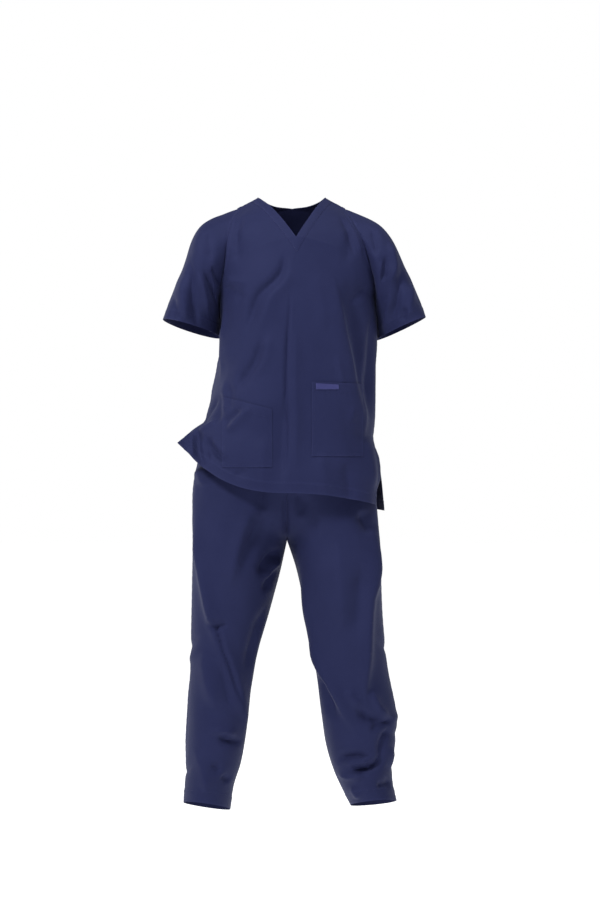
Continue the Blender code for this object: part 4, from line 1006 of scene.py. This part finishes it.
# %% A woven material
def woven(name, deep, pale, thread, sheen, sheen_tone, rough, crumple=0.0009):
    made = bpy.data.materials.new(name)
    made.use_nodes = True
    tree = made.node_tree
    nodes, links = tree.nodes, tree.links
    shader = nodes["Principled BSDF"]
    shader.inputs["Sheen Weight"].default_value = sheen
    shader.inputs["Sheen Roughness"].default_value = 0.45
    shader.inputs["Sheen Tint"].default_value = (*sheen_tone, 1)
    shader.inputs["Specular IOR Level"].default_value = 0.17
    shader.inputs["Specular Tint"].default_value = (0.50, 0.58, 1.0, 1)

    layout = nodes.new("ShaderNodeUVMap")
    layout.uv_map = "cut"
    place = nodes.new("ShaderNodeTexCoord")
    threads = []
    for direction in ("X", "Y"):
        wave = nodes.new("ShaderNodeTexWave")
        wave.bands_direction = direction
        wave.inputs["Scale"].default_value = 0.314 / thread
        wave.inputs["Distortion"].default_value = 0.6
        wave.inputs["Detail"].default_value = 1.0
        links.new(layout.outputs["UV"], wave.inputs["Vector"])
        threads.append(wave)
    weave = nodes.new("ShaderNodeMath")
    weave.operation = "MULTIPLY"
    links.new(threads[0].outputs["Fac"], weave.inputs[0])
    links.new(threads[1].outputs["Fac"], weave.inputs[1])

    dye = nodes.new("ShaderNodeTexNoise")
    dye.inputs["Scale"].default_value = 7.0
    dye.inputs["Detail"].default_value = 5.0
    dye.inputs["Roughness"].default_value = 0.6
    links.new(place.outputs["Object"], dye.inputs["Vector"])
    slub = nodes.new("ShaderNodeTexNoise")
    slub.inputs["Scale"].default_value = 420.0
    slub.inputs["Detail"].default_value = 2.0
    links.new(place.outputs["Object"], slub.inputs["Vector"])
    blend = nodes.new("ShaderNodeMath")
    blend.operation = "MULTIPLY_ADD"
    blend.inputs[1].default_value = 0.35
    links.new(slub.outputs["Fac"], blend.inputs[0])
    links.new(dye.outputs["Fac"], blend.inputs[2])
    tone = nodes.new("ShaderNodeValToRGB")
    tone.color_ramp.elements[0].position, tone.color_ramp.elements[1].position = 0.40, 0.95
    tone.color_ramp.elements[0].color = (*deep, 1)
    tone.color_ramp.elements[1].color = (*pale, 1)
    links.new(blend.outputs["Value"], tone.inputs["Fac"])

    # painted highlight: the "edge" attribute mixes in a paler tone along edges and hem lines, where
    # light catches the seams
    edge_highlight = nodes.new("ShaderNodeAttribute")
    edge_highlight.attribute_name = "edge"
    amount = nodes.new("ShaderNodeMath")
    amount.operation = "MULTIPLY"
    amount.inputs[1].default_value = 0.14
    links.new(edge_highlight.outputs["Fac"], amount.inputs[0])
    highlighted_tone = nodes.new("ShaderNodeMix")
    highlighted_tone.data_type = "RGBA"
    links.new(amount.outputs["Value"], highlighted_tone.inputs["Factor"])
    links.new(tone.outputs["Color"], highlighted_tone.inputs["A"])
    highlighted_tone.inputs["B"].default_value = (*[min(1, c * 2.2 + 0.01) for c in pale], 1)
    links.new(highlighted_tone.outputs["Result"], shader.inputs["Base Color"])

    dull = nodes.new("ShaderNodeMapRange")
    dull.inputs["To Min"].default_value = rough - 0.06
    dull.inputs["To Max"].default_value = rough + 0.08
    links.new(dye.outputs["Fac"], dull.inputs["Value"])
    links.new(dull.outputs["Result"], shader.inputs["Roughness"])

    rumple = nodes.new("ShaderNodeTexNoise")
    rumple.inputs["Scale"].default_value = 34.0
    rumple.inputs["Detail"].default_value = 3.0
    rumple.inputs["Distortion"].default_value = 0.4
    links.new(place.outputs["Object"], rumple.inputs["Vector"])
    soft = nodes.new("ShaderNodeBump")
    soft.inputs["Strength"].default_value = 0.5
    soft.inputs["Distance"].default_value = crumple
    links.new(rumple.outputs["Fac"], soft.inputs["Height"])
    fine = nodes.new("ShaderNodeBump")
    fine.inputs["Strength"].default_value = 0.35
    fine.inputs["Distance"].default_value = thread * 0.18
    links.new(weave.outputs["Value"], fine.inputs["Height"])
    links.new(soft.outputs["Normal"], fine.inputs["Normal"])
    links.new(fine.outputs["Normal"], shader.inputs["Normal"])
    return made


poplin = woven("navy_poplin", (0.0132, 0.0157, 0.0535), (0.0178, 0.0208, 0.0655),
               0.0007, 0.05, (0.55, 0.62, 1.0), 0.66)
# the inside faces: a duller copy of the poplin, painted darker as shade for the garment's inside
inside_with_painted_shade = woven("navy_poplin_inside", (0.0110, 0.0130, 0.0460), (0.0150, 0.0175, 0.0570),
               0.0007, 0.03, (0.62, 0.68, 1.0), 0.84)
ribbon = woven("plain_label_ribbon", (0.029, 0.031, 0.104), (0.045, 0.047, 0.150),
               0.0009, 0.10, (0.9, 0.9, 1.0), 0.55, 0.0002)
thread = woven("navy_thread", (0.0145, 0.0172, 0.0630), (0.0195, 0.0230, 0.0780),
               0.0003, 0.20, (0.7, 0.75, 1.0), 0.60, 0.0001)
print("materials:", poplin.name, inside_with_painted_shade.name, ribbon.name, thread.name)

# %% [markdown]
# ## From a sheet to cloth with two faces
# A sheet gets its thickness inwards, and its edges are closed, so it is a real
# shell that also looks right from inside the neck and the hems. Where two
# panels meet, each steps back by half of a seam's gap. The Solidify modifier
# would do this too, but it can't make neighbours agree at a shared corner. Only
# the sleeves run on beneath their neighbours. The other seams are open by that gap.

# %% Sew a shell
SEAM_GAP = 0.0003        # clear gap where two panels are sewn together
TUCK, TUCK_DEPTH = 0.0065, 0.0017   # how far each sleeve runs under the panels, and below them
TUCK_ZONE, TUCK_FADE = 0.02, 0.006  # how near the armhole that edge lies, and where it levels out


def rim(quads):
    """The bare edges of a sheet, each in the direction that its quad runs."""
    ahead = np.stack([quads, np.roll(quads, -1, axis=1)], axis=2).reshape(-1, 2)
    keys = np.sort(ahead, axis=1) @ np.array([quads.max() + 1, 1])
    _, back, count = np.unique(keys, return_inverse=True, return_counts=True)
    bare = np.flatnonzero(count[back.ravel()] == 1)
    return ahead[bare], bare


def shell(name, points, normals, quads, flat, edge, look, inside=None, wall=CLOTH,
          lift=0.0, step=SEAM_GAP / 2):
    edges, at = rim(quads)
    face_way = unit(np.cross(points[quads[:, 2]] - points[quads[:, 0]],
                             points[quads[:, 3]] - points[quads[:, 1]]))[at // 4]
    inward = unit(np.cross(face_way, points[edges[:, 1]] - points[edges[:, 0]]))
    back = np.zeros_like(points)
    for n in (0, 1):
        np.add.at(back, edges[:, n], inward)
    back = 2 * back / np.maximum((back**2).sum(axis=1, keepdims=True), 0.7)
    back *= np.asarray(step).reshape(-1, 1) if np.ndim(step) else step
    outer = points + back + normals * (np.asarray(lift).reshape(-1, 1) if np.ndim(lift) else lift)
    inner = outer - normals * wall
    count = len(points)
    around = np.stack([edges[:, 1], edges[:, 0], edges[:, 0] + count, edges[:, 1] + count], 1)
    skin = np.concatenate([quads, quads[:, ::-1] + count, around])
    corners = flat.reshape(-1, 2)
    first, second = corners[at], corners[(at // 4) * 4 + (at + 1) % 4]
    around_flat = np.stack([second, first, first, second], axis=1)
    mesh = bpy.data.meshes.new(name)
    mesh.from_pydata(np.concatenate([outer, inner]).tolist(), [], skin.tolist())
    layer = mesh.uv_layers.new(name="cut")
    layer.data.foreach_set("uv", np.concatenate(
        [flat, flat[:, ::-1], around_flat]).astype(np.float32).ravel())
    # the "edge" attribute carries the strength of the painted highlight along edges and hems
    edge_highlight = mesh.attributes.new("edge", "FLOAT", "POINT")
    edge_highlight.data.foreach_set("value", np.clip(np.tile(edge, 2), 0, 1).astype(np.float32))
    mesh.materials.append(look)
    if inside is not None:
        mesh.materials.append(inside)
        which = np.zeros(len(skin), np.int32)
        which[len(quads):2 * len(quads)] = 1
        mesh.polygons.foreach_set("material_index", which)
    mesh.shade_smooth()
    mesh.set_sharp_from_angle(angle=math.radians(50))
    piece = bpy.data.objects.new(name, mesh)
    bpy.context.scene.collection.objects.link(piece)
    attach(piece, "root")
    piece["around"] = "cloth"
    return piece, outer


def area_of(piece):
    return sum(p.area for p in piece.data.polygons) / 2


pieces = {}
for name, sheet in sheets.items():
    step, lift = SEAM_GAP / 2, 0.0
    if name.startswith("sleeve"):           # the sleeve is turned in under the armhole's edge
        far = sheet.spread(from_edge(sheet, "hem"))
        step = np.where(far < TUCK_ZONE, -TUCK, SEAM_GAP / 2)
        lift = -TUCK_DEPTH * (1 - ease(far / TUCK_FADE))
    pieces[name], sheet.outer = shell(name + "_cloth", sheet.points, sheet.normals, sheet.quads,
                                      sheet.flat, sheet.edge, poplin, inside_with_painted_shade,
                                      lift=lift, step=step)
    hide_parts(name)
print("areas, square metres:", {name: round(area_of(p), 3) for name, p in pieces.items()})

# %% [markdown]
# ## Patch pockets and the label
# A patch pocket is one piece of cloth laid on the front and sewn along three
# sides, with a folded hem at its mouth. It follows every fold beneath, so its
# points are found by looking straight at the front panel and reading where the
# line of sight meets it. The label is a short blank ribbon on a pocket's mouth.

# %% Lay a rectangle on the front of the top
LAID_CLOTH = 0.0009       # cloth of a piece that lies on another
POCKET_HEM, POCKET_TURN = 0.024, 0.006   # depth of a pocket's hem, and of its turned edges
front = sheets["top_front"]
front_tree = BVHTree.FromPolygons(front.outer.tolist(), front.quads.tolist())


def lay_on(x0, x1, z0, z1, lean, cell, tree=front_tree):
    """A grid of points on the panel, from the bottom up, with its normals."""
    across = np.linspace(0, 1, max(3, round((x1 - x0) / cell)) + 1)
    up = np.linspace(0, 1, max(3, round((z1 - z0) / cell)) + 1)
    points, normals = [], []
    for v in up:
        for u in across:
            top = z1 + lean * (0.5 - u)
            spot = Vector((x0 + (x1 - x0) * u, -0.6, z0 + (top - z0) * v))
            hit, way = tree.ray_cast(spot, Vector((0, 1, 0)))[:2]
            points.append(hit[:])
            normals.append(way[:])
    shape = (len(up), len(across), 3)
    return np.array(points).reshape(shape), np.array(normals).reshape(shape), across, up


def patch(name, node, x0, x1, z0, z1, lean, gap, mouth, cell, look, tree=front_tree):
    """A piece of cloth on the front, standing a little open at its mouth."""
    points, ways, across, up = lay_on(x0, x1, z0, z1, lean, cell, tree)
    for _ in range(2):                      # soften the normals from facet to facet
        ways[1:-1, 1:-1] = (ways[:-2, 1:-1] + ways[2:, 1:-1] + ways[1:-1, :-2]
                            + ways[1:-1, 2:] + ways[1:-1, 1:-1])
        ways = unit(ways)
    piece = Sheet(name, "laid").add(points, False).weld()
    lift = np.full(points.shape[:2], gap + LAID_CLOTH)
    bulge = np.sin(math.pi * across)[None, :]**0.7 * ease((up - 0.45) / 0.55)[:, None]
    lift += mouth * bulge
    far_up = (1 - up)[:, None] * (z1 - z0) + 0 * lift
    far_in = np.minimum(np.minimum(across, 1 - across)[None, :] * (x1 - x0),
                        up[:, None] * (z1 - z0))
    if mouth:
        lift += 0.0004 * (1 - ease((far_up - POCKET_HEM) / 0.002))
        lift += 0.0002 * (1 - ease((far_in - POCKET_TURN) / 0.002))
        pucker = np.sin(across * 60)[None, :] * np.exp(-(far_up - POCKET_HEM)**2 / 1e-4)
        lift += 0.00025 * pucker
    piece.plain = piece.points.copy()
    # the painted highlight along the pocket's edges and mouth
    marks = np.exp(-far_in / 0.002) + np.exp(-far_up / 0.002)
    normals = np.stack([piece.spread([ways[..., n]]) for n in range(3)], axis=1)
    made, piece.outer = shell(name, piece.points, unit(normals), piece.quads, piece.flat,
                              piece.spread([marks]), look, lift=piece.spread([lift]),
                              wall=LAID_CLOTH)
    piece.normals = unit(normals)
    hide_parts(node)
    return made, piece


# columns: name, x from, x to, z bottom, z top, lean of the mouth
POCKETS = [("patch_pocket_left", 0.048, 0.168, -0.615, -0.443, 0.004),
           ("patch_pocket_right", -0.160, -0.044, -0.640, -0.490, 0.030)]
laid = {}
for name, x0, x1, z0, z1, lean in POCKETS:
    pieces[name], laid[name] = patch(name + "_cloth", name, x0, x1, z0, z1, lean,
                                     0.0003, 0.0009, 0.0032, poplin)
left = laid["patch_pocket_left"]
pocket_tree = BVHTree.FromPolygons(left.outer.tolist(), left.quads.tolist())
pieces["label"], laid["label"] = patch("blank_label", "label", 0.058, 0.111, -0.4590, -0.4460,
                                       0.0030, 0.0004, 0, 0.0014, ribbon, pocket_tree)
print("pockets and label:", {n: len(p.quads) for n, p in laid.items()})

# %% [markdown]
# ## The neck band
# A band of even width follows the V and the back of the neck, mitred below the
# V. It is one strip, so it is made as one: from each point of the neckline it
# steps outwards across the panels, at right angles to the line.

# %% Neck band
back_panel = sheets["top_back"]
shift = len(front.outer)
body_tree = BVHTree.FromPolygons(np.concatenate([front.outer, back_panel.outer]).tolist(),
                                 np.concatenate([front.quads, back_panel.quads + shift]).tolist())
ahead_rows, behind_rows = spaced([VEE, 1], 260), spaced([BACK_NECK, 1], 320)
lines = {}
for face, rows in (("front", ahead_rows), ("back", behind_rows)):
    panel = sheets["top_" + face]
    for n, half in enumerate(HALVES):
        whole = panel.outer[panel.ids[n][:, 0]]
        lines[face, half] = np.stack([np.interp(rows, TOP_ROWS, whole[:, k]) for k in range(3)], 1)
loop = np.concatenate([lines["front", "right"], lines["back", "right"][::-1][1:],
                       lines["back", "left"][1:], lines["front", "left"][::-1][1:-1]])
along = unit(unit(np.roll(loop, -1, axis=0) - loop) + unit(loop - np.roll(loop, 1, axis=0)))
ways = np.array([body_tree.find_nearest(Vector(p))[1][:] for p in loop])
for _ in range(6):
    ways = unit(ways + np.roll(ways, 1, axis=0) + np.roll(ways, -1, axis=0))
away = unit(np.cross(ways, along))
away *= np.sign(((loop - loop.mean(axis=0)) * away).sum(axis=1))[:, None]
mitre = (unit(np.roll(loop, -1, axis=0) - loop) * along).sum(axis=1)
away /= np.clip(mitre, 0.4, 1)[:, None]
BAND_WIDTH = 0.019
shares = np.linspace(0, 1, 9)
columns = [np.array([body_tree.find_nearest(Vector(p))[0][:] for p in loop + away * BAND_WIDTH * s])
           for s in shares]
for n in range(1, 9):                       # even the strip out along its length
    for _ in range(2):
        smooth = (columns[n] + np.roll(columns[n], 1, axis=0) + np.roll(columns[n], -1, axis=0)) / 3
        smooth[0], columns[n] = columns[n][0], smooth
band = Sheet("neck_band", "laid").add(np.array(columns), False, closed=True).weld()
band.plain = band.points.copy()
band.normals = unit(cross_normals(band.points, band.quads))
if (band.normals * (band.points - loop.mean(axis=0))).sum(axis=1).mean() < 0:
    band.quads, band.flat = band.quads[:, ::-1], band.flat[:, ::-1]
    band.normals = -band.normals
swell = 0.0016 + 0.0004 * np.sin(math.pi * shares)[:, None] + np.zeros(len(loop))
swell -= 0.0008 * ease((shares[:, None] - 0.75) / 0.25)
# the painted highlight along both edges of the band
marks = np.exp(-shares[:, None] / 0.1) + np.exp(-(1 - shares[:, None]) / 0.12) + 0 * swell
pieces["neck_band"], band.outer = shell("neck_band_cloth", band.points, band.normals, band.quads,
                                        band.flat, band.spread([marks]), poplin,
                                        lift=band.spread([swell]), wall=0.0008)
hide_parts("neck_band")
print("neck band:", len(band.quads), "quads, area", round(area_of(pieces["neck_band"]), 4))

# %% [markdown]
# ## The waistband
# Under the top, the trousers end in a casing with elastic, which gathers it
# into small upright ripples. Nothing shows of it but from below, so it is one
# rippled ring on top of the four panels.

# %% Waistband
CASING, RIPPLE_EVERY = 0.036, 0.0125     # height of the casing, and one ripple's length
tops = {}
for face in ("front", "back"):
    for half in HALVES:
        leg = sheets["trouser_" + face + "_" + half]
        tops[face, half] = leg.points[leg.ids[0][-1]]
ring = np.concatenate([tops["front", "right"][::-1], tops["front", "left"][1:],
                       tops["back", "left"][::-1][1:], tops["back", "right"][1:-1]])
ring = np.stack([np.interp(np.arange(0, len(ring), 0.5), np.arange(len(ring) + 1),
                           np.append(ring[:, k], ring[0, k])) for k in range(3)], axis=1)
level = np.linspace(0, CASING, 15)
casing = Sheet("waistband", "legs").add(
    np.array([ring + np.array([0, 0, h + 0.0004]) for h in level]), False, closed=True).weld()
casing.plain = casing.points.copy()
casing.normals = unit(cross_normals(casing.points, casing.quads))
round_it = np.cumsum(np.linalg.norm(np.diff(ring, axis=0, append=ring[:1]), axis=1))
ripple = (np.sin(round_it / RIPPLE_EVERY * 2 * math.pi + 2 * np.sin(round_it * 21)) * 0.0009)
swell = np.sin(math.pi * level / CASING)[:, None] * (0.0012 + ripple)[None, :]
# the edge values give a painted highlight along the lower edge of the casing
pieces["waistband"], casing.outer = shell(
    "waistband_cloth", casing.points, casing.normals, casing.quads, casing.flat,
    casing.spread([0 * swell + np.exp(-level / 0.003)[:, None]]), poplin, inside_with_painted_shade,
    lift=casing.spread([swell]))
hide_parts("waistband")
print("waistband area", round(area_of(pieces["waistband"]), 4))

# %% [markdown]
# ## Stitches
# Rows of stitches hold every hem and turned seam. One stitch is a bead of
# thread under 3 mm long, sunk at both ends, and a row is that bead copied along
# a line that keeps a set distance from the edge. The bead has few faces,
# because there are thousands of it.

# %% Rows of stitches
PITCH, LONG, WIDE, PROUD = 0.0034, 0.0025, 0.00030, 0.00028


def beside(outer, normals, ids, edge, distance, keep=slice(None)):
    """The line at a distance from an edge, and its normals."""
    grid, ways = TURNS[edge](outer[ids])[:, keep], TURNS[edge](normals[ids])[:, keep]
    far = measure(grid)
    line, out = [], []
    for n in range(grid.shape[1]):
        line.append([np.interp(distance, far[:, n], grid[:, n, k]) for k in range(3)])
        out.append([np.interp(distance, far[:, n], ways[:, n, k]) for k in range(3)])
    return np.array(line), unit(np.array(out))


def stitch(name, runs, owner):
    """Copy one bead along each run."""
    bead = np.array([(x, y * w, z) for x, w, low, high in
                     ((-0.5, 0.35, -0.6, 0.1), (-0.25, 1, -0.6, 1), (0.25, 1, -0.6, 1),
                      (0.5, 0.35, -0.6, 0.1)) for y, z in ((-1, low), (1, low), (0, high))])
    ends = [(0, 2, 1), (9, 10, 11)]
    sides = [(a + i, a + j, a + 3 + j, a + 3 + i) for a in (0, 3, 6)
             for i, j in ((0, 1), (1, 2), (2, 0))]
    verts, faces = [], []
    for line, ways in runs:
        far = np.append(0, np.cumsum(np.linalg.norm(np.diff(line, axis=0), axis=1)))
        spots = np.arange(PITCH, far[-1] - PITCH / 2, PITCH)
        at = np.stack([np.interp(spots, far, line[:, k]) for k in range(3)], axis=1)
        on = np.stack([np.interp(spots + 1e-3, far, line[:, k]) for k in range(3)], axis=1)
        up = unit(np.stack([np.interp(spots, far, ways[:, k]) for k in range(3)], axis=1))
        run = unit(on - at)
        across = unit(np.cross(up, run))
        up = np.cross(run, across)
        cloud = (at[:, None] + run[:, None] * bead[None, :, :1] * LONG
                 + across[:, None] * bead[None, :, 1:2] * WIDE
                 + up[:, None] * bead[None, :, 2:] * PROUD)
        for n in range(len(at)):
            base = len(verts)
            verts.extend(cloud[n].tolist())
            faces.extend(tuple(base + v for v in f) for f in ends + sides)
    mesh = bpy.data.meshes.new(name)
    mesh.from_pydata(verts, [], faces)
    mesh.uv_layers.new(name="cut")
    mesh.attributes.new("edge", "FLOAT", "POINT")
    mesh.materials.append(thread)
    mesh.shade_smooth()
    row = bpy.data.objects.new(name, mesh)
    bpy.context.scene.collection.objects.link(row)
    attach(row, "root")
    owner.setdefault("rows", []).append(row)
    return len(faces)


# how far each row of stitches lies from its edge
ROW_HEM, ROW_VENT, ROWS_ARMHOLE, ROW_SHOULDER = 0.0215, 0.0175, (0.0025, 0.0075), 0.0070
ROW_CUFF, ROW_LEG, ROW_BAND, ROW_LABEL = 0.0225, 0.0275, 0.0016, 0.0012
ROW_MOUTH, ROWS_POCKET = 0.0215, (0.0015, 0.0065)
rows_of = {name: {} for name in pieces}
low, arm = np.flatnonzero(TOP_ROWS <= VENT), np.flatnonzero(TOP_ROWS >= 0.615)
for face in ("front", "back"):
    sheet, runs = sheets["top_" + face], []
    for ids in sheet.ids:
        keep = (sheet.outer, sheet.normals, ids)
        runs.append(beside(*keep, "hem", ROW_HEM))
        runs.append(beside(*keep, "outer", ROW_VENT, slice(0, len(low))))
        runs += [beside(*keep, "outer", row, slice(arm[0], None)) for row in ROWS_ARMHOLE]
        if face == "back":
            runs.append(beside(*keep, "crown", ROW_SHOULDER))
    stitch("stitches_top_" + face, runs, rows_of["top_" + face])
for half in HALVES:
    sheet = sheets["sleeve_" + half]
    stitch("stitches_sleeve_" + half,
           [beside(sheet.outer, sheet.normals, sheet.ids[0], "crown", ROW_CUFF)],
           rows_of["sleeve_" + half])
for face in ("front", "back"):
    for half in HALVES:
        name = "trouser_" + face + "_" + half
        sheet = sheets[name]
        run = beside(sheet.outer, sheet.normals, sheet.ids[0], "hem", ROW_LEG)
        stitch("stitches_" + name, [run], rows_of[name])
for name in ("patch_pocket_left", "patch_pocket_right"):
    sheet = laid[name]
    keep = (sheet.outer, sheet.normals, sheet.ids[0])
    runs = [beside(*keep, "crown", ROW_MOUTH)]
    runs += [beside(*keep, edge, row) for row in ROWS_POCKET for edge in ("inner", "outer", "hem")]
    stitch("stitches_" + name, runs, rows_of[name])
stitch("stitches_neck_band",
       [beside(band.outer, band.normals, np.concatenate([band.ids[0], band.ids[0][:, :1]], 1),
               edge, ROW_BAND) for edge in ("hem", "crown")], rows_of["neck_band"])
sheet = laid["label"]
keep = (sheet.outer, sheet.normals, sheet.ids[0])
stitch("stitches_label", [beside(*keep, edge, ROW_LABEL) for edge in ("hem", "crown")],
       rows_of["label"])
print("rows of stitches on", sum(bool(r) for r in rows_of.values()), "pieces")

# %% [markdown]
# ## The flat cut
# Every piece was flat before it was sewn. Its width and length are the longest
# lines across and along it, measured on the cloth built above, and its area was
# measured there too, so a share close to 1 is no proof of the cut. The last
# deepening of the folds came after. The neck band and the waistband are
# estimates. A sleeve is one piece that goes right round the arm.

# %% Say how each sheet was cut
# columns: name, width, length, area, how it is held, what it rests on
CUTS = [("top_front", 0.597, 0.794, 0.339, "hung", "neck_band"),
        ("top_back", 0.577, 0.840, 0.354, "hung", "neck_band"),
        ("sleeve_right", 0.602, 0.342, 0.105, "hung", "top_front"),
        ("sleeve_left", 0.583, 0.341, 0.102, "hung", "top_front"),
        ("neck_band", 0.700, 0.019, None, "hung", "top_front"),
        ("patch_pocket_left", 0.156, 0.184, 0.0240, "hung", "top_front"),
        ("patch_pocket_right", 0.141, 0.180, 0.0197, "hung", "top_front"),
        ("label", 0.054, 0.0145, 0.00074, "hung", "patch_pocket_left"),
        ("trouser_front_right", 0.370, 1.050, 0.270, "hung", "waistband"),
        ("trouser_front_left", 0.368, 1.047, 0.277, "hung", "waistband"),
        ("trouser_back_right", 0.340, 1.035, 0.267, "hung", "waistband"),
        ("trouser_back_left", 0.337, 1.031, 0.268, "hung", "waistband"),
        ("waistband", 1.000, 0.036, None, "gathered", "trouser_front_right")]
for name, width, length, area, held, rests in CUTS:
    shown = area_of(pieces[name])
    print(f"{name:22} shown {shown:.4f}  cut {area or width * length:.4f}  "
          f"share {shown / (area or width * length):.2f}")
